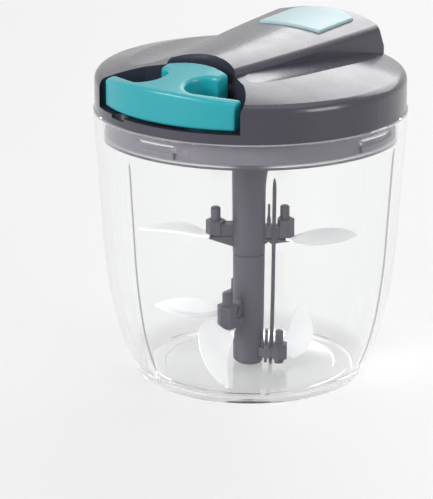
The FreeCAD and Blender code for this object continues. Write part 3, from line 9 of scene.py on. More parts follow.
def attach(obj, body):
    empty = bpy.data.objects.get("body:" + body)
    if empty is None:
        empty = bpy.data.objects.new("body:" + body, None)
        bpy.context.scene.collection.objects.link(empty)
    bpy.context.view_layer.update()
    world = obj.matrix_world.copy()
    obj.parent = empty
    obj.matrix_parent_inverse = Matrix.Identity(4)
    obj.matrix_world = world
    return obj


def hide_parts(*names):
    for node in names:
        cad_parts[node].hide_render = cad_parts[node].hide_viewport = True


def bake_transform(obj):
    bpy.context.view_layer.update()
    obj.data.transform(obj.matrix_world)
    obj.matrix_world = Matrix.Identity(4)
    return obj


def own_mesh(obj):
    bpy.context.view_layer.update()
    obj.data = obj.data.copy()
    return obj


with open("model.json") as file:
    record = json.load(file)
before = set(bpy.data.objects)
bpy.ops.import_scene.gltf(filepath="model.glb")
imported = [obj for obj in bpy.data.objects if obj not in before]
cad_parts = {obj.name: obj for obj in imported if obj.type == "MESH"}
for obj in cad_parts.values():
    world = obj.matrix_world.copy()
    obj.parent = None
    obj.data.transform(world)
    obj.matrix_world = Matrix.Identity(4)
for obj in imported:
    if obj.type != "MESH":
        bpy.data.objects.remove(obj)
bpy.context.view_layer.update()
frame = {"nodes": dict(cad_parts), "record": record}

# Pull-cord food chopper, dressed for its photograph. Blender works in metres, and
# the sizes of the pieces are written here in millimetres, as on a drawing.
MM = 0.001
nodes = frame["nodes"]


# Outlines
# A rounded corner takes at most this share of an edge.
LONGEST_EASE = 0.49
TINY = 1e-6


def circle_through(one, two, three):
    """Centre and radius of the circle through three points of a plane."""
    (ax, ay), (bx, by), (cx, cy) = one, two, three
    spread = 2 * (ax * (by - cy) + bx * (cy - ay) + cx * (ay - by))
    a2, b2, c2 = ax * ax + ay * ay, bx * bx + by * by, cx * cx + cy * cy
    x = (a2 * (by - cy) + b2 * (cy - ay) + c2 * (ay - by)) / spread
    y = (a2 * (cx - bx) + b2 * (ax - cx) + c2 * (bx - ax)) / spread
    return x, y, math.hypot(ax - x, ay - y)


def arc(start, middle, end, steps):
    """Points from start to end along the circle through the three, without the start."""
    x, y, radius = circle_through(start, middle, end)

    def bearing(point):
        return math.atan2(point[1] - y, point[0] - x)

    first = bearing(start)
    turn = (bearing(end) - first) % math.tau
    if (bearing(middle) - first) % math.tau > turn:
        turn -= math.tau
    return [(x + radius * math.cos(first + turn * i / steps),
             y + radius * math.sin(first + turn * i / steps)) for i in range(1, steps + 1)]


def straight(start, end, steps):
    """Points from start to end, without the start."""
    return [(start[0] + (end[0] - start[0]) * i / steps,
             start[1] + (end[1] - start[1]) * i / steps) for i in range(1, steps + 1)]


def smooth_step(share):
    """A share from 0 to 1 that leaves and arrives gently."""
    return share * share * (3 - 2 * share)


def eased(corners, steps=4):
    """A half profile whose corners (x, y, radius) are rounded off."""
    outline = []
    for i, (x, y, radius) in enumerate(corners):
        here = Vector((x, y))
        if radius == 0 or i in (0, len(corners) - 1):
            outline.append((x, y))
            continue
        before = Vector(corners[i - 1][:2]) - here
        after = Vector(corners[i + 1][:2]) - here
        half = before.angle(after) / 2
        reach = min(radius / math.tan(half), before.length * LONGEST_EASE,
                    after.length * LONGEST_EASE)
        start, end = here + before.normalized() * reach, here + after.normalized() * reach
        for j in range(steps + 1):
            share = j / steps
            point = (start * (1 - share) ** 2 + here * 2 * share * (1 - share)
                     + end * share ** 2)
            outline.append((point.x, point.y))
    return outline


# Pieces
def link(name, data):
    """A new object in the scene."""
    made = bpy.data.objects.new(name, data)
    bpy.context.scene.collection.objects.link(made)
    return made


def link_piece(name, mesh, body, replaced=(), material=None, sharp=None):
    """A piece of the chopper that rides on a body and stands for the replaced nodes."""
    piece = link(name, mesh)
    mesh.shade_smooth()
    if sharp is not None:
        mesh.set_sharp_from_angle(angle=math.radians(sharp))
    if material is not None:
        mesh.materials.append(material)
    if replaced:
        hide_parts(*replaced)
    if body is not None:
        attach(piece, body)
    return piece


def applied(name, holder):
    """The mesh that an object shows, with its modifiers or its bevel applied."""
    bpy.context.view_layer.update()
    shown = holder.evaluated_get(bpy.context.evaluated_depsgraph_get())
    mesh = bpy.data.meshes.new_from_object(shown)
    mesh.name = name
    return mesh


def finished(name, work):
    """The mesh of a bmesh, with its faces turned outwards."""
    bmesh.ops.recalc_face_normals(work, faces=work.faces)
    mesh = bpy.data.meshes.new(name)
    work.to_mesh(mesh)
    work.free()
    return mesh


def united(name, first, second):
    """The union of two closed meshes."""
    holders = [link(name, mesh) for mesh in (first, second)]
    join = holders[0].modifiers.new("join", "BOOLEAN")
    join.operation = "UNION"
    join.solver = "EXACT"
    join.object = holders[1]
    mesh = applied(name, holders[0])
    for holder in holders:
        bpy.data.objects.remove(holder)
    return mesh


def softened(name, drawn, cell, passes):
    """A moulded piece with its edges rounded off, from its drawn shape."""
    mesh = drawn.data.copy()
    mesh.transform(drawn.matrix_world)
    holder = link(name, mesh)
    cells = holder.modifiers.new("cells", "REMESH")
    cells.mode = "VOXEL"
    cells.voxel_size = cell * MM
    soft = holder.modifiers.new("soft", "SMOOTH")
    soft.factor = 0.5
    soft.iterations = passes
    result = applied(name, holder)
    result.materials.clear()
    bpy.data.objects.remove(holder)
    return result


def turned(name, profile, steps, form=None, closed=False):
    """Mesh of a half profile (radius, height) turned about Z; form may move its points.

    A closed profile starts and ends at the same point and never meets the axis."""
    work = bmesh.new()
    rings = []
    for number, (radius, height) in enumerate(profile[:-1] if closed else profile):
        if radius < TINY:
            rings.append([work.verts.new((0, 0, height * MM))])
            continue
        ring = []
        for step in range(steps):
            angle = math.tau * step / steps
            r, z = form(angle, number, radius, height) if form else (radius, height)
            ring.append(work.verts.new((r * math.cos(angle) * MM, r * math.sin(angle) * MM,
                                        z * MM)))
        rings.append(ring)
    above = rings[1:] + rings[:1] if closed else rings[1:]
    for lower, upper in zip(rings, above):
        for step in range(steps):
            following = (step + 1) % steps
            if len(lower) == 1:
                corners = (lower[0], upper[following], upper[step])
            elif len(upper) == 1:
                corners = (lower[step], lower[following], upper[0])
            else:
                corners = (lower[step], lower[following], upper[following], upper[step])
            work.faces.new(corners)
    return finished(name, work)


# Node groups
PATCHES_PER_FLOW_MARK = 3.1
SCRATCH_AXIS = (0.3, 0.5, 0.8)
SCRATCH_STRETCH = (1.0, 14.0, 14.0)
LINE_STRETCH = (0.06, 1.0, 1.0)
POLISH_PER_METRE = 60.0


def socket(group, name, into=True, value=None):
    """A named number that a group takes in or puts out."""
    item = group.interface.new_socket(name, in_out="INPUT" if into else "OUTPUT",
                                      socket_type="NodeSocketFloat")
    if value is not None:
        item.default_value = value


def add(tree, kind, inputs=None, **settings):
    """A node with its settings, and values or links for its inputs."""
    made = tree.nodes.new("ShaderNode" + kind)
    for key, value in settings.items():
        setattr(made, key, value)
    for key, value in (inputs or {}).items():
        if isinstance(value, bpy.types.NodeSocket):
            tree.links.new(value, made.inputs[key])
        else:
            made.inputs[key].default_value = value
    return made


def math_node(tree, operation, first, second, clamp=False):
    """The result of two values or links."""
    return add(tree, "Math", {0: first, 1: second}, operation=operation,
               use_clamp=clamp).outputs[0]


def map_range(tree, value, low, high, to_low=0.0, to_high=1.0):
    """The value moved from one range to another."""
    return add(tree, "MapRange", {"Value": value, "From Min": low, "From Max": high,
                                  "To Min": to_low, "To Max": to_high}).outputs["Result"]


def noise(tree, scale, detail, where=None, roughness=0.55):
    """Noise over the piece, or over a stretched copy of its space."""
    where = where or add(tree, "TexCoord").outputs["Object"]
    return add(tree, "TexNoise", {"Vector": where, "Scale": scale, "Detail": detail,
                                  "Roughness": roughness}).outputs["Fac"]


def new_group(name):
    """An empty node group with its two ends."""
    tree = bpy.data.node_groups.new(name, "ShaderNodeTree")
    return tree, tree.nodes.new("NodeGroupInput"), tree.nodes.new("NodeGroupOutput")


def make_mould_grain():
    """Spark-eroded grain of a moulded piece with slow flow marks and a handled sheen."""
    tree, inside, outside = new_group("mould_grain")
    socket(tree, "Grain per metre", value=3000.0)
    socket(tree, "Flow per metre", value=25.0)
    for name in ("Flow", "Sheen", "Height"):
        socket(tree, name, into=False)
    grain = noise(tree, inside.outputs["Grain per metre"], 2.0)
    flow = noise(tree, inside.outputs["Flow per metre"], 2.0)
    finer = math_node(tree, "MULTIPLY", inside.outputs["Flow per metre"],
                      PATCHES_PER_FLOW_MARK)
    patches = noise(tree, finer, 4.0)
    tree.links.new(map_range(tree, flow, 0.3, 0.7), outside.inputs["Flow"])
    tree.links.new(map_range(tree, patches, 0.35, 0.65), outside.inputs["Sheen"])
    tree.links.new(grain, outside.inputs["Height"])
    return tree


def make_fine_scratches():
    """Thin, faint lines from wiping and stacking, as a mask."""
    tree, inside, outside = new_group("fine_scratches")
    socket(tree, "Per metre", value=60.0)
    socket(tree, "Turn", value=0.6)
    socket(tree, "Mask", into=False)
    where = add(tree, "TexCoord").outputs["Object"]
    slanted = add(tree, "VectorRotate", {"Vector": where, "Angle": inside.outputs["Turn"],
                                         "Axis": SCRATCH_AXIS}).outputs[0]
    stretched = add(tree, "VectorMath", {0: slanted, 1: SCRATCH_STRETCH},
                    operation="MULTIPLY").outputs[0]
    lines = noise(tree, inside.outputs["Per metre"], 6.0, stretched, 0.7)
    tree.links.new(map_range(tree, lines, 0.7, 0.78), outside.inputs["Mask"])
    return tree


def make_brushed():
    """Fine polishing lines along X with slow changes of polish."""
    tree, inside, outside = new_group("brushed_steel")
    socket(tree, "Lines per metre", value=900.0)
    socket(tree, "Lines", into=False)
    socket(tree, "Polish", into=False)
    where = add(tree, "TexCoord").outputs["Object"]
    stretched = add(tree, "VectorMath", {0: where, 1: LINE_STRETCH},
                    operation="MULTIPLY").outputs[0]
    lines = noise(tree, inside.outputs["Lines per metre"], 3.0, stretched, 0.5)
    tree.links.new(lines, outside.inputs["Lines"])
    polish = noise(tree, POLISH_PER_METRE, 3.0)
    tree.links.new(map_range(tree, polish, 0.35, 0.65), outside.inputs["Polish"])
    return tree


MOULD_GRAIN = make_mould_grain()
FINE_SCRATCHES = make_fine_scratches()
BRUSHED = make_brushed()


def put_group(tree, group, inputs=None):
    """The group placed in a material, with this finish's own values."""
    return add(tree, "Group", inputs, node_tree=group)


# Materials
GRAIN_DISTANCE = 0.0001
FLOW_SHADE = 0.03
SHEEN_SPREAD = 0.04
MIDDLE_GREY = 0.5
SCRATCH_PALENESS = 0.3
SCRATCH_TINT = 0.06
SCRATCH_ROUGHNESS = 0.036
COAT_ROUGHNESS = 0.12
PLASTIC_IOR = 1.5
LINE_DEPTH = 0.05
LINE_SPREAD = (0.7, 1.35)
DULL_STEEL = 0.93
# Heights in metres below which the bowl is fully tinted by painted shade, and above which that
# tint is gone.
PAINTED_SHADE_LEVELS = (0.004, 0.009)
CLEAR_SCRATCHES = 0.05
# A ray that has met this many surfaces goes straight on, so none is lost in the foot.
DEEPEST_RAY = 5.5


def new_material(name):
    """A material with its nodes and its surface shader."""
    material = bpy.data.materials.new(name)
    material.use_nodes = True
    tree = material.node_tree
    return material, tree, tree.nodes["Principled BSDF"]


def linear(red, green, blue):
    """A colour given as 0 to 255 screen values."""
    def one(value):
        value /= 255
        return value / 12.92 if value <= 0.04045 else ((value + 0.055) / 1.055) ** 2.4
    return (one(red), one(green), one(blue), 1.0)


def shade(colour, share):
    """The colour at a share of its brightness."""
    return tuple(c * share for c in colour[:3]) + (1.0,)


def add_relief(tree, surface, height, depth):
    """Fine relief of a group's height in the surface."""
    bump = add(tree, "Bump", {"Strength": depth, "Distance": GRAIN_DISTANCE,
                              "Height": height})
    tree.links.new(bump.outputs["Normal"], surface.inputs["Normal"])


def moulded(name, colour, roughness, grain=5000.0, depth=0.03, coat=0.0):
    """Moulded plastic: flow marks in the colour, grain in the surface, faint scratches."""
    material, tree, surface = new_material(name)
    marks = put_group(tree, MOULD_GRAIN, {"Grain per metre": grain})
    scratched = put_group(tree, FINE_SCRATCHES).outputs["Mask"]
    tone = add(tree, "Mix", {"Factor": marks.outputs["Flow"],
                             "A": shade(colour, 1 - FLOW_SHADE),
                             "B": shade(colour, 1 + FLOW_SHADE)}, data_type="RGBA")
    paler = tuple(c + (MIDDLE_GREY - c) * SCRATCH_PALENESS for c in colour[:3]) + (1.0,)
    tint = math_node(tree, "MULTIPLY", scratched, SCRATCH_TINT)
    worn = add(tree, "Mix", {"Factor": tint, "A": tone.outputs["Result"], "B": paler},
               data_type="RGBA")
    tree.links.new(worn.outputs["Result"], surface.inputs["Base Color"])
    sheen = map_range(tree, marks.outputs["Sheen"], 0.0, 1.0, roughness - SHEEN_SPREAD,
                      roughness + SHEEN_SPREAD)
    dulled = math_node(tree, "MULTIPLY", scratched, SCRATCH_ROUGHNESS)
    tree.links.new(math_node(tree, "ADD", sheen, dulled, clamp=True),
                   surface.inputs["Roughness"])
    add_relief(tree, surface, marks.outputs["Height"], depth)
    surface.inputs["Coat Weight"].default_value = coat
    surface.inputs["Coat Roughness"].default_value = COAT_ROUGHNESS
    surface.inputs["IOR"].default_value = PLASTIC_IOR
    return material


def steel(name, colour, roughness, lines=900.0, metallic=1.0):
    """Polished sheet or wire with fine lines and slow changes of polish."""
    material, tree, surface = new_material(name)
    marks = put_group(tree, BRUSHED, {"Lines per metre": lines})
    tone = add(tree, "Mix", {"Factor": marks.outputs["Polish"],
                             "A": shade(colour, DULL_STEEL), "B": colour},
               data_type="RGBA")
    tree.links.new(tone.outputs["Result"], surface.inputs["Base Color"])
    surface.inputs["Metallic"].default_value = metallic
    rough = map_range(tree, marks.outputs["Lines"], 0.3, 0.7,
                      *[roughness * share for share in LINE_SPREAD])
    tree.links.new(rough, surface.inputs["Roughness"])
    add_relief(tree, surface, marks.outputs["Lines"], LINE_DEPTH)
    return material


def clear(name, colour, roughness, ior, shadow, painted_floor_shade=None):
    """Clear plastic that lets the lamps through, darkened by painted shade near its floor."""
    material, tree, surface = new_material(name)
    surface.inputs["Base Color"].default_value = colour
    # Painted shade: the low part of the bowl is tinted darker, standing in for the shade that
    # falls on the floor inside the bowl.
    if painted_floor_shade is not None:
        level = add(tree, "SeparateXYZ", {0: add(tree, "TexCoord").outputs["Object"]})
        share = map_range(tree, level.outputs["Z"], *PAINTED_SHADE_LEVELS)
        tint = add(tree, "Mix", {"Factor": share, "A": painted_floor_shade, "B": colour},
                   data_type="RGBA")
        tree.links.new(tint.outputs["Result"], surface.inputs["Base Color"])
    surface.inputs["Transmission Weight"].default_value = 1.0
    surface.inputs["IOR"].default_value = ior
    scratched = put_group(tree, FINE_SCRATCHES).outputs["Mask"]
    rough = map_range(tree, scratched, 0.0, 1.0, roughness, roughness + CLEAR_SCRATCHES)
    tree.links.new(rough, surface.inputs["Roughness"])
    through = add(tree, "BsdfTransparent", {"Color": shadow})
    rays = add(tree, "LightPath")
    deep = math_node(tree, "GREATER_THAN", rays.outputs["Ray Depth"], DEEPEST_RAY)
    free = math_node(tree, "MAXIMUM", deep, rays.outputs["Is Shadow Ray"])
    mixed = add(tree, "MixShader", {0: free})
    tree.links.new(surface.outputs[0], mixed.inputs[1])
    tree.links.new(through.outputs[0], mixed.inputs[2])
    tree.links.new(mixed.outputs[0], tree.nodes["Material Output"].inputs["Surface"])
    return material


# The bowl's floor carries painted shade, a darker tint for the shade inside the bowl.
CLEAR_BOWL = clear("clear_bowl", (0.985, 0.99, 0.99, 1), 0.0, 1.36, (0.95, 0.955, 0.955, 1),
                   painted_floor_shade=(0.85, 0.85, 0.845, 1))
CLEAR_SEAL = clear("clear_silicone", (0.86, 0.87, 0.88, 1), 0.25, 1.41, (0.7, 0.7, 0.7, 1))
COVER_GREY = moulded("cover_grey", linear(54, 52, 65), 0.28, coat=0.45)
INNER_GREY = moulded("inner_grey", linear(104, 100, 110), 0.4)
HUB_GREY = moulded("hub_grey", linear(70, 66, 77), 0.4)
HANDLE_TEAL = moulded("handle_teal", linear(24, 162, 172), 0.34, coat=0.15)
BUTTON_MINT = moulded("button_mint", linear(176, 204, 208), 0.34)
WHITE_PLASTIC = moulded("white_plastic", linear(226, 226, 222), 0.4)
CORD_FIBRE = moulded("cord_fibre", linear(214, 212, 205), 0.8, grain=2500.0, depth=0.5)
# Painted reflection: the blade steel is near-white and mostly diffuse, so it shows as bright as
# the glare of polished steel without reflecting it.
BLADE_STEEL = steel("blade_steel", (0.98, 0.98, 0.985, 1), 0.42, lines=1500.0,
                    metallic=0.25)
SPRING_STEEL = steel("spring_steel", (0.5, 0.5, 0.52, 1), 0.3)
SCREW_STEEL = steel("screw_steel", (0.62, 0.62, 0.63, 1), 0.25)

FINISHES = {
    "clear_bowl": CLEAR_BOWL, "clear_silicone": CLEAR_SEAL, "cover_grey": COVER_GREY,
    "inner_grey": INNER_GREY, "hub_grey": HUB_GREY, "handle_teal": HANDLE_TEAL,
    "button_mint": BUTTON_MINT, "white_plastic": WHITE_PLASTIC, "cord": CORD_FIBRE,
    "blade_steel": BLADE_STEEL, "spring_steel": SPRING_STEEL, "screw_steel": SCREW_STEEL,
}
for subpart in frame["record"]["subparts"]:
    own = nodes[subpart["node"]]
    own.data.materials.clear()
    own.data.materials.append(FINISHES[subpart["material_slot"]])


# Bowl
BOWL_STEPS = 720
BOWL_HEIGHT = 105.0
BOWL_WALL = 2.6
RIM_RADIUS = 60.0
FLOOR_TOP = 2.2
RING_RISE = 0.35
# The outer side below the rim: radius and height of each point, then how far inwards and
# upwards the inner side lies from it for each millimetre of wall.
SIDE_POINTS = (
    (57.1, 60.0, 1.0, 0.0), (55.85, 44.5, 1.0, 0.1), (53.6, 29.0, 1.0, 0.17),
    (50.9, 18.0, 0.95, 0.3), (47.5, 8.6, 0.92, 0.38), (45.6, 4.3, 0.87, 0.55),
)
# Rows along the side: from the rim to the waist, then round each of its arcs.
SIDE_STEPS = (60, 16, 12, 8)
RIM_EASE = 0.6
FOOT_RADIUS = 43.5
FOOT_EASE = 0.7
# The foot ring's bevelled inner edge, round the raised underside.
FOOT_RING_INNER = 40.5
UNDERSIDE_RISE = 0.4
UNDERSIDE_EASE = 0.3
FLOOR_RADIUS = 40.9
FLOOR_EASE = 2.0
# The low ring on the floor: the radii of its top, and how far its sides lean out.
RING_OUTER, RING_INNER = 38.0, 33.4
RING_LEAN = 0.4
RING_EASE = 0.2
# The boss on the floor and the pin's hole in it.
BOSS_FOOT, BOSS_RADIUS = 4.6, 4.0
BOSS_SHOULDER, BOSS_TOP = 4.9, 5.2
BOSS_TOP_RADIUS = 3.7
BOSS_EASES = (0.5, 0.3, 0.1)
PIN_RADIUS = 2.0
PIN_FOOT = 1.2
RIB_DEPTH = 0.38
RIB_WIDTH = 2.1
RIB_STEEPNESS = 4
RIB_TOP = 96.0
RIB_FADE = 8.0
RIB_RUNOUT = 3.0
RIB_FIRST = -44.0
RIB_COUNT = 6
# Points of the profile that the ribs run out over on the floor's rounding.
RIB_RUNOUT_POINTS = 6
TAB_DEPTH = 1.3
TAB_LEVEL = 101.8
TAB_HALF_HEIGHT = 0.8
TAB_HALF_ANGLE = 8.5
TAB_END_STEEPNESS, TAB_EDGE_STEEPNESS = 24, 16
TAB_FIRST = -89.0
TAB_COUNT = 4


def bowl_side(inset, bottom):
    """Points of the bowl's side from the rim down, at a depth inside the outer face."""
    rim = (RIM_RADIUS - inset, BOWL_HEIGHT)
    waist, bend, belly, curve, heel, toe = [
        (radius - inset * inwards, height + inset * upwards)
        for radius, height, inwards, upwards in SIDE_POINTS]
    foot = (FOOT_RADIUS - inset, bottom)
    down, upper, lower, last = SIDE_STEPS
    return [rim, *straight(rim, waist, down), *arc(waist, bend, belly, upper),
            *arc(belly, curve, heel, lower), *arc(heel, toe, foot, last)]


def off_mark(degrees, first, count):
    """Degrees from the nearest of the equal marks round the bowl."""
    return (degrees - first + 180 / count) % (360 / count) - 180 / count


def bowl_relief(degrees, radius, height):
    """How far the ribs and the lid's tabs stand in from the inner side."""
    across = abs(math.radians(off_mark(degrees, RIB_FIRST, RIB_COUNT))) * radius
    bump = 1 / (1 + (across / (RIB_WIDTH / 2)) ** RIB_STEEPNESS)
    fade = smooth_step(min(1, max(0, (RIB_TOP - height) / RIB_FADE)))
    low = min(1, max(0, (height - FLOOR_TOP) / RIB_RUNOUT))
    off = abs(off_mark(degrees, TAB_FIRST, TAB_COUNT))
    along = 1 / (1 + (off / TAB_HALF_ANGLE) ** TAB_END_STEEPNESS)
    level = 1 / (1 + (abs(height - TAB_LEVEL) / TAB_HALF_HEIGHT) ** TAB_EDGE_STEEPNESS)
    return RIB_DEPTH * bump * fade * low + TAB_DEPTH * along * level


def make_bowl():
    """Foot, outer side, rim, ribbed inner side and floor with the pin's boss."""
    outer = list(reversed(bowl_side(0, 0.0)))[1:-1]
    inner = bowl_side(BOWL_WALL, FLOOR_TOP)[1:-1]
    ring_top = FLOOR_TOP + RING_RISE
    under = eased([(0, UNDERSIDE_RISE, 0),
                   (FOOT_RING_INNER, UNDERSIDE_RISE, UNDERSIDE_EASE),
                   (FOOT_RING_INNER + UNDERSIDE_RISE, 0, UNDERSIDE_EASE),
                   (FOOT_RADIUS, 0, FOOT_EASE), (*outer[0], 0)])
    rim = eased([(*outer[-1], 0), (RIM_RADIUS, BOWL_HEIGHT, RIM_EASE),
                 (RIM_RADIUS - BOWL_WALL, BOWL_HEIGHT, RIM_EASE), (*inner[0], 0)])
    foot_ease, shoulder_ease, top_ease = BOSS_EASES
    floor = eased([(*inner[-1], 0), (FLOOR_RADIUS, FLOOR_TOP, FLOOR_EASE),
                   (RING_OUTER + RING_LEAN, FLOOR_TOP, RING_EASE),
                   (RING_OUTER, ring_top, RING_EASE), (RING_INNER, ring_top, RING_EASE),
                   (RING_INNER - RING_LEAN, FLOOR_TOP, RING_EASE),
                   (BOSS_FOOT, FLOOR_TOP, foot_ease),
                   (BOSS_RADIUS, BOSS_SHOULDER, shoulder_ease),
                   (BOSS_TOP_RADIUS, BOSS_TOP, top_ease), (PIN_RADIUS, BOSS_TOP, 0),
                   (PIN_RADIUS, PIN_FOOT, 0), (0, PIN_FOOT, 0)])
    # Each stretch starts with the last point of the one before it.
    profile = under + outer[1:] + rim[1:] + inner[1:] + floor[1:]
    first_inner = len(under) + len(outer[1:]) + len(rim[1:]) - 1
    last_inner = first_inner + len(inner) + RIB_RUNOUT_POINTS

    def ribbed(angle, number, radius, height):
        if first_inner <= number <= last_inner:
            radius -= bowl_relief(math.degrees(angle), radius, height)
        return radius, height

    mesh = turned("clear_bowl", profile, BOWL_STEPS, ribbed)
    link_piece("clear_bowl_shell", mesh, "bowl", ["bowl"], CLEAR_BOWL)


make_bowl()

# Cover
DOME_EDGE = (56.2, 119.9)
DOME_RING = (40.0, 123.4)
DOME_TOP = 126.8
# Each scoop: its middle, half length and half width, depth and heading in degrees.
SCOOPS = ((25.0, 6.0, 36.0, 11.0, 1.7, -3.0), (-33.0, -4.0, 25.0, 12.5, 1.7, 8.0))
FLATTEST_BEND = 0.0002
FACES_UP = 0.7
ON_SURFACE = 0.02
LARGEST_SAG = 0.12


class Scoop:
    """A ring-shaped tool that cut a shallow scoop in the dome."""

    def __init__(self, x, y, length, width, depth, turn):
        bend = (DOME_RING[1] - DOME_EDGE[1]) / (DOME_EDGE[0] ** 2 - DOME_RING[0] ** 2)
        self.across = 0.5 / max(depth / width ** 2 - bend, FLATTEST_BEND)
        self.along = 0.5 / max(bend - depth / length ** 2, FLATTEST_BEND)
        upright = Vector((2 * bend * x, 2 * bend * y, 1)).normalized()
        level = DOME_RING[1] + (DOME_RING[0] ** 2 - x * x - y * y) * bend
        self.middle = Vector((x, y, level)) - upright * (self.along + depth)
        lean = Vector((0, 0, 1)).rotation_difference(upright)
        lean = lean @ Matrix.Rotation(math.radians(turn), 3, "Z").to_quaternion()
        self.axis = lean @ Vector((1, 0, 0))

    def core(self, point):
        """The nearest point of the ring's core."""
        away = point - self.middle
        away -= self.axis * away.dot(self.axis)
        return self.middle + away.normalized() * (self.along + self.across)


def make_cover():
    """The cover, with the dome's and the scoops' own curvature in its normals."""
    out, low, sweep = circle_through(DOME_EDGE, DOME_RING, (0.0, DOME_TOP))
    scoops = [Scoop(*sizes) for sizes in SCOOPS]

    def off_dome(point):
        return abs(math.hypot(math.hypot(point.x, point.y) - out, point.z - low) - sweep)

    def dome_normal(point):
        radius = math.hypot(point.x, point.y)
        slope = (radius - out) / max(radius, TINY)
        return Vector((point.x * slope, point.y * slope, point.z - low)).normalized()

    drawn = nodes["lid_cover"]
    mesh = drawn.data.copy()
    mesh.transform(drawn.matrix_world)
    normals = [corner.vector.copy() for corner in mesh.corner_normals]
    places = [vertex.co / MM for vertex in mesh.vertices]
    for face in mesh.polygons:
        if face.normal.z < FACES_UP:
            continue
        loops = [(loop, places[mesh.loops[loop].vertex_index])
                 for loop in face.loop_indices]
        if all(off_dome(place) < ON_SURFACE for _, place in loops):
            centre = sum((places[i] for i in face.vertices), Vector()) / len(loops)
            if off_dome(centre) < LARGEST_SAG:
                for loop, place in loops:
                    normals[loop] = dome_normal(place)
                continue
        for scoop in scoops:
            if all(abs((place - scoop.core(place)).length - scoop.across) < ON_SURFACE
                   for _, place in loops):
                for loop, place in loops:
                    normals[loop] = (scoop.core(place) - place).normalized()
    mesh.normals_split_custom_set(normals)
    piece = link("moulded_cover", mesh)
    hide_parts("lid_cover")
    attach(piece, "lid")


make_cover()

# Handle and button
HANDLE_CELL, HANDLE_PASSES = 0.36, 16
BUTTON_CELL, BUTTON_PASSES = 0.3, 6

link_piece("moulded_handle", softened("moulded_handle", nodes["pull_handle"], HANDLE_CELL,
                                      HANDLE_PASSES),
           "handle", ["pull_handle"], HANDLE_TEAL)
link_piece("moulded_button", softened("moulded_button", nodes["release_button"],
                                      BUTTON_CELL, BUTTON_PASSES),
           "button", ["release_button"], BUTTON_MINT)

# Blades
BLADE_CIRCLE = 13.3
BLADE_THICKNESS = 1.0
BLOCK_FLATS = 6.6
EYE_HOLE = 1.6
GRIND_WIDTH = 3.0
GRIND_SHARE = 0.4
EDGE_THICKNESS = 0.16
BACK_EASE = 0.15
BACK_FLAT = 0.2
# Rows between the grind and the back, as shares of the way.
FLAT_ROWS = (0.35, 0.7)
# How far along the leaf its outer and inner edge bulge most.
OUTER_CREST, INNER_CREST = 0.48, 0.5
NECK_SHARE = 0.42
NECK_OVERLAP = 0.35
BLOCK_GAP = 0.05
EYE_EASE = 0.12
EYE_EASE_STEPS = 3
EYE_STEPS = 96
CURVE_STEPS = 44
NECK_STEPS = 8
GRIND_ROWS = 5
# Where each edge's curve ends short of the tip, and its last two points: back from the
# tip and out from the middle line.
OUTER_END, OUTER_TIP = (0.7, 1.3), ((0.25, 0.8), (0.02, 0.3))
INNER_END, INNER_TIP = (1.0, -0.9), ((0.45, -0.45), (0.06, 0.02))
SHARP_ANGLE = 22

# Each blade: direction of its post and height of its underside; heading, length, rise and
# twist in degrees, bulge of its outer and inner edge, neck, and the leaf's root outwards
# and inwards of the middle.
BLADES = {
    "upper_blade_left": (218.0, 53.4, 211.6, 30.4, 2.2, -7.4, -9.7, 0.4, 5.0, 2.8, 2.8),
    "upper_blade_right": (38.0, 52.4, 11.2, 31.6, 10.5, 16.6, -6.2, 6.4, 5.0, 2.8, 2.8),
    "lower_blade_front": (-93.0, 18.4, -51.5, 31.6, -34.6, -55.0, -18.4, 0.2, 6.0, 10.0, 4.0),
    "lower_blade_left": (152.5, 20.0, 238.0, 34.0, 8.0, -14.0, 8.2, -6.0, 5.0, 2.8, 2.8),
    "lower_blade_right": (5.0, 5.0, 113.0, 38.0, 19.0, 25.0, -9.4, 1.3, 5.2, 4.4, 1.5),
}


def across_blade(outer, inner, grind):
    """Points (x, y, half thickness) of one row from the cutting edge to the back."""
    width = math.dist(outer, inner)
    thin, full = EDGE_THICKNESS / 2, BLADE_THICKNESS / 2
    ground = min(GRIND_WIDTH, width * GRIND_SHARE)
    marks = [(0.0, thin), (ground * 0.5, thin + (full - thin) * 0.5), (ground, full),
             (ground + BACK_EASE, full)]
    marks += [(ground + (width - ground) * share, full) for share in FLAT_ROWS]
    marks += [(width - BACK_FLAT, full), (width, full - BACK_EASE)]
    row = []
    for far, half in marks:
        share = far / width if width > TINY else 0
        half = full - (full - half) * grind
        row.append((outer[0] + (inner[0] - outer[0]) * share,
                    outer[1] + (inner[1] - outer[1]) * share, half))
    return row


def blade_edge(root, middle, end, tip, reach, side):
    """Points of one edge of the leaf from its root to the tip."""
    return [root, *arc(root, middle, (reach - end[0], side * end[1]), CURVE_STEPS),
            *[(reach - back, side * out) for back, out in tip]]


def blade_strip(name, rows):
    """Closed strip of a blade through its rows of upper and lower points."""
    work = bmesh.new()
    grid = [[(work.verts.new(top), work.verts.new(under)) for top, under in row]
            for row in rows]
    for here, there in zip(grid, grid[1:]):
        for i in range(len(here) - 1):
            work.faces.new((here[i][0], here[i + 1][0], there[i + 1][0], there[i][0]))
            work.faces.new((here[i][1], there[i][1], there[i + 1][1], here[i + 1][1]))
        for i in (0, -1):
            work.faces.new((here[i][0], there[i][0], there[i][1], here[i][1]))
    for row in (grid[0], grid[-1]):
        for i in range(len(row) - 1):
            work.faces.new((row[i][0], row[i][1], row[i + 1][1], row[i + 1][0]))
    strip = finished(name, work)
    strip.transform(Matrix.Scale(MM, 4))
    return strip


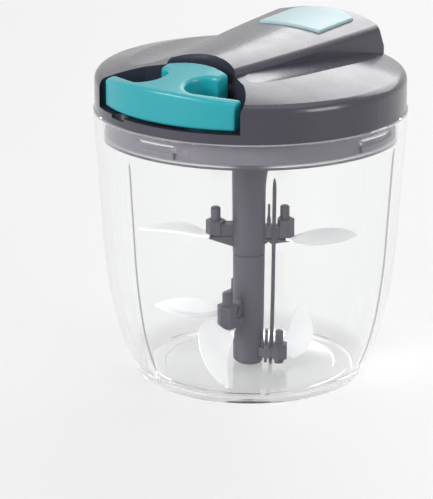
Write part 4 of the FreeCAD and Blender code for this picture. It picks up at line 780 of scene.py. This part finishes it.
def make_blade(name, direction, height, heading, length, rise, twist, bulge, hollow, neck,
               outwards, inwards):
    """A sickle with a ground outer edge on a twisted neck, with its eye round the post."""
    side = 1 if bulge > 0 else -1
    reach = length - neck
    half = BLOCK_FLATS * NECK_SHARE
    # The neck starts to rise past the corners of the arm's six-sided block.
    clear_of_block = BLOCK_FLATS / 2 / math.cos(math.pi / 6) + BLOCK_GAP
    outer = blade_edge((0, side * outwards), (reach * OUTER_CREST, bulge), OUTER_END,
                       OUTER_TIP, reach, side)
    inner = blade_edge((0, -side * inwards), (reach * INNER_CREST, hollow), INNER_END,
                       INNER_TIP, reach, side)
    middle = BLADE_THICKNESS / 2
    tilt = (Matrix.Translation((neck, 0, middle))
            @ Matrix.Rotation(math.radians(-rise), 4, "Y")
            @ Matrix.Rotation(math.radians(twist), 4, "X"))
    flat = across_blade((0, side * half), (0, -side * half), 0)
    root = across_blade(outer[0], inner[0], 0)
    rows = [[(Vector((x, y, middle + h)), Vector((x, y, middle - h))) for _, y, h in flat]
            for x in (EYE_HOLE + NECK_OVERLAP, clear_of_block)]
    for step in range(1, NECK_STEPS):
        share = smooth_step(step / NECK_STEPS)
        row = []
        for (_, y0, h0), (x1, y1, h1) in zip(flat, root):
            ends = []
            for sign in (1, -1):
                first = Vector((clear_of_block, y0, middle + sign * h0))
                ends.append(first.lerp(tilt @ Vector((x1, y1, sign * h1)), share))
            row.append(tuple(ends))
        rows.append(row)
    for number, (start, end) in enumerate(zip(outer, inner)):
        grind = min(1.0, number / GRIND_ROWS)
        rows.append([(tilt @ Vector((x, y, h)), tilt @ Vector((x, y, -h)))
                     for x, y, h in across_blade(start, end, grind)])
    strip = blade_strip(name + "_strip", rows)
    eye = turned(name + "_eye", eased([
        (EYE_HOLE, middle, 0), (EYE_HOLE, 0, EYE_EASE), (BLOCK_FLATS / 2, 0, EYE_EASE),
        (BLOCK_FLATS / 2, BLADE_THICKNESS, EYE_EASE),
        (EYE_HOLE, BLADE_THICKNESS, EYE_EASE), (EYE_HOLE, middle, 0)], EYE_EASE_STEPS),
        EYE_STEPS, closed=True)
    mesh = united(name, eye, strip)
    angle = math.radians(direction)
    spot = Vector((math.cos(angle) * BLADE_CIRCLE, math.sin(angle) * BLADE_CIRCLE, height))
    mesh.transform(Matrix.Translation(spot * MM)
                   @ Matrix.Rotation(math.radians(heading), 4, "Z"))
    link_piece(name + "_ground", mesh, "blade_unit", [name], BLADE_STEEL,
               SHARP_ANGLE)


for blade_name, blade_sizes in BLADES.items():
    make_blade(blade_name, *blade_sizes)


# Cord
CORD_RADIUS = 0.9
CORD_LEVEL = 115.0
CORD_ROUTE = [(-9.35, -17.51), (-2.2, -21.4), (0.0, -23.6), (0.0, -27.0), (0.0, -41.0)]
WOUND_RADIUS = 19.85
WINDING_BOTTOM = 111.9
WINDING_TURNS = 4
WINDING_PITCH = 1.55
WINDING_START = -118
WINDING_STEPS = 12
WOUND_SHARE = 0.86
KNOT_PLACE = (0.0, -42.8, 115.0)
KNOT_SIZE, KNOT_DEPTH, KNOT_CORD = 0.52, 0.6, 0.7
KNOT_STEPS = 24
TUBE_STEPS_ALONG, TUBE_STEPS_ROUND = 8, 5


def tube(name, points, radius, cyclic=False):
    """Mesh tube round a smooth line with these control points."""
    curve = bpy.data.curves.new(name, "CURVE")
    curve.dimensions = "3D"
    spline = curve.splines.new("NURBS")
    spline.points.add(len(points) - 1)
    for point, place in zip(spline.points, points):
        point.co = (*[value * MM for value in place], 1)
    spline.order_u = 3
    spline.use_endpoint_u = not cyclic
    spline.use_cyclic_u = cyclic
    spline.resolution_u = TUBE_STEPS_ALONG
    curve.bevel_depth = radius * MM
    curve.bevel_resolution = TUBE_STEPS_ROUND
    curve.use_fill_caps = not cyclic
    holder = link(name, curve)
    mesh = applied(name, holder)
    mesh.materials.clear()
    bpy.data.objects.remove(holder)
    bpy.data.curves.remove(curve)
    return mesh


def make_cord():
    """Straight cord to the handle, its turns on the spool and its knot."""
    route = [(x, y, CORD_LEVEL) for x, y in CORD_ROUTE]
    cord = link_piece("braided_cord", tube("braided_cord", route, CORD_RADIUS), None,
                      ["pull_cord"], CORD_FIBRE)
    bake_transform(cord)
    turns = []
    for step in range(WINDING_TURNS * WINDING_STEPS + 1):
        angle = math.radians(WINDING_START - step * 360 / WINDING_STEPS)
        level = WINDING_BOTTOM + WINDING_PITCH * step / WINDING_STEPS
        turns.append((WOUND_RADIUS * math.cos(angle), WOUND_RADIUS * math.sin(angle), level))
    link_piece("wound_cord", tube("wound_cord", turns, CORD_RADIUS * WOUND_SHARE), "spool",
               ["cord_winding"], CORD_FIBRE)
    loops = []
    for step in range(KNOT_STEPS):
        angle = math.tau * step / KNOT_STEPS
        across = KNOT_SIZE * (math.sin(angle) + 2 * math.sin(2 * angle))
        upwards = KNOT_SIZE * (math.cos(angle) - 2 * math.cos(2 * angle))
        loops.append((across + KNOT_PLACE[0], -KNOT_DEPTH * math.sin(3 * angle) + KNOT_PLACE[1],
                      upwards + KNOT_PLACE[2]))
    link_piece("tied_knot", tube("tied_knot", loops, KNOT_CORD, cyclic=True), "handle",
               ["cord_knot"], CORD_FIBRE)


make_cord()

# Springs
BUTTON_CENTRE = 38.0
BUTTON_COIL = 4.05
BUTTON_WIRE = 0.4
BUTTON_SPRING_FOOT, BUTTON_SPRING_HEAD = 101.3, 111.8
BUTTON_SPRING_TURNS = 6
BUTTON_SPRING_STEPS = 14
LEAF_LINE = [(5.66, 3.9, 0), (7.8, 2.0, 0.6), (11.05, 1.16, 0)]
LEAF_LEVELS = (104.5, 107.0)
LEAF_THICKNESS = 0.3
LEAF_SHARP_ANGLE = 30


def make_button_spring():
    """Coil under the button's collar."""
    coils = []
    drawn = BUTTON_SPRING_HEAD - BUTTON_SPRING_FOOT
    steps = BUTTON_SPRING_TURNS * BUTTON_SPRING_STEPS
    for step in range(steps + 1):
        angle = math.tau * step / BUTTON_SPRING_STEPS
        level = BUTTON_SPRING_FOOT + BUTTON_WIRE + (drawn - 2 * BUTTON_WIRE) * step / steps
        coils.append((BUTTON_COIL * math.cos(angle),
                      BUTTON_CENTRE + BUTTON_COIL * math.sin(angle), level))
    spring = link_piece("button_coil", tube("button_coil", coils, BUTTON_WIRE), "lid",
                        ["button_spring"], SPRING_STEEL)
    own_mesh(spring)


def make_leaf_spring(name, side):
    """Bent strip from the drive socket's boss to a pawl."""
    path = eased(LEAF_LINE)
    work = bmesh.new()
    rows = []
    for place, (x, y) in enumerate(path):
        before, after = path[max(place - 1, 0)], path[min(place + 1, len(path) - 1)]
        along = Vector((after[0] - before[0], after[1] - before[1])).normalized()
        row = []
        for offset, level in ((-1, 0), (1, 0), (1, 1), (-1, 1)):
            out = offset * LEAF_THICKNESS / 2
            row.append(work.verts.new((side * (x - along.y * out) * MM,
                                       side * (y + along.x * out) * MM,
                                       LEAF_LEVELS[level] * MM)))
        rows.append(row)
    for one, two in zip(rows, rows[1:]):
        for k in range(4):
            work.faces.new((one[k], one[(k + 1) % 4], two[(k + 1) % 4], two[k]))
    work.faces.new(rows[0])
    work.faces.new(list(reversed(rows[-1])))
    leaf = link_piece(name, finished(name, work), None, ["pawl_springs"],
                      SPRING_STEEL, LEAF_SHARP_ANGLE)
    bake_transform(leaf)


make_button_spring()
make_leaf_spring("front_leaf_spring", 1)
make_leaf_spring("rear_leaf_spring", -1)

# Room
BACKGROUND = 0.93
MIRRORED_SHARE = 0.75
STUDIO_FILL = 0.4
FLOOR_REACH = 3.0
FLOOR_LEVEL = -0.0001
FLOOR_GREY = (0.42, 0.42, 0.42, 1)
FLOOR_ROUGHNESS, FLOOR_SHINE = 0.6, 0.2
FLOOR_GLOW = 0.45
# Each lamp: its place, its width and height, and its power.
LAMPS = {
    "back_panel": ((-0.18, 1.09, 0.80), (1.35, 0.66), 7.0),
    "overhead": ((0.25, 0.1, 1.1), (0.7, 0.7), 1.0),
    "left_front": ((-0.45, -1.25, 0.62), (0.8, 0.6), 14.0),
    "right_side": ((1.3, 0.05, 0.5), (0.6, 0.6), 6.0),
}
OBJECT_MIDDLE = (0, 0, 0.06)


def seen_directly(tree, rays):
    """One for rays from the camera, also through clear plastic."""
    return math_node(tree, "ADD", rays.outputs["Is Camera Ray"],
                     rays.outputs["Is Transmission Ray"], clamp=True)


def make_floor():
    """Pale floor that stays pale where the lamps don't reach."""
    mesh = bpy.data.meshes.new("floor")
    corners = [(x * FLOOR_REACH, y * FLOOR_REACH, FLOOR_LEVEL)
               for x, y in ((-1, -1), (1, -1), (1, 1), (-1, 1))]
    mesh.from_pydata(corners, [], [(0, 1, 2, 3)])
    floor = link("floor", mesh)
    material, tree, surface = new_material("floor")
    surface.inputs["Base Color"].default_value = FLOOR_GREY
    surface.inputs["Roughness"].default_value = FLOOR_ROUGHNESS
    surface.inputs["Specular IOR Level"].default_value = FLOOR_SHINE
    surface.inputs["Emission Color"].default_value = (1, 1, 1, 1)
    rays = add(tree, "LightPath")
    seen = math_node(tree, "ADD", seen_directly(tree, rays),
                     rays.outputs["Is Glossy Ray"], clamp=True)
    tree.links.new(math_node(tree, "MULTIPLY", seen, FLOOR_GLOW),
                   surface.inputs["Emission Strength"])
    floor.data.materials.append(material)


def make_studio():
    """Even surroundings: pale where they are seen or mirrored, dimmer as fill light."""
    world = bpy.data.worlds.new("studio")
    bpy.context.scene.world = world
    world.use_nodes = True
    tree = world.node_tree
    rays = add(tree, "LightPath")
    mirrored = math_node(tree, "MULTIPLY", rays.outputs["Is Glossy Ray"], MIRRORED_SHARE)
    seen = math_node(tree, "ADD", seen_directly(tree, rays), mirrored, clamp=True)
    strength = map_range(tree, seen, 0.0, 1.0, STUDIO_FILL, BACKGROUND)
    tree.links.new(strength, tree.nodes["Background"].inputs["Strength"])
    tree.nodes["Background"].inputs["Color"].default_value = (1, 1, 1, 1)


def add_lamp(name, place, size, power):
    """A soft panel that faces the chopper."""
    lamp = bpy.data.lights.new(name, "AREA")
    lamp.shape = "RECTANGLE"
    lamp.size, lamp.size_y = size
    lamp.energy = power
    holder = link(name, lamp)
    holder.visible_transmission = False
    holder.location = place
    facing = Vector(OBJECT_MIDDLE) - Vector(place)
    holder.rotation_euler = facing.to_track_quat("-Z", "Y").to_euler()


# Camera: its turn about the chopper and its rise in degrees, its distance in metres, its
# focal length in pixels of the picture, and how far the picture's middle lies from the
# chopper's, leftwards and downwards in pixels.
CAMERA_TURN, CAMERA_RISE = 38, 16.76
CAMERA_DISTANCE = 1.05
FOCAL_PIXELS = 2718.43
PICTURE_HEIGHT = 499
SENSOR_SIZE = 36
AIM_LEFT, AIM_DOWN = 33.5, 31.1
NEAREST, FARTHEST = 0.05, 20


def make_camera():
    """The photograph's view."""
    turn, rise = math.radians(CAMERA_TURN), math.radians(CAMERA_RISE)
    toward = Vector((math.sin(turn), -math.cos(turn), 0))
    across = Vector((math.cos(turn), math.sin(turn), 0))
    back = toward * math.cos(rise) + Vector((0, 0, math.sin(rise)))
    above = Vector((0, 0, math.cos(rise))) - toward * math.sin(rise)
    middle = Vector(OBJECT_MIDDLE)
    eye = middle + back * CAMERA_DISTANCE
    pixel = CAMERA_DISTANCE / FOCAL_PIXELS
    aim = middle - across * (AIM_LEFT * pixel) - above * (AIM_DOWN * pixel)
    camera = bpy.data.cameras.new("camera")
    camera.lens = FOCAL_PIXELS / PICTURE_HEIGHT * SENSOR_SIZE
    camera.sensor_width = SENSOR_SIZE
    camera.sensor_fit = "AUTO"
    camera.clip_start = NEAREST
    camera.clip_end = FARTHEST
    holder = link("camera", camera)
    holder.location = eye
    holder.rotation_euler = (aim - eye).to_track_quat("-Z", "Y").to_euler()
    bpy.context.scene.camera = holder


make_floor()
make_studio()
for lamp_name, lamp_values in LAMPS.items():
    add_lamp(lamp_name, *lamp_values)
make_camera()
bpy.context.scene.view_settings.view_transform = "Standard"
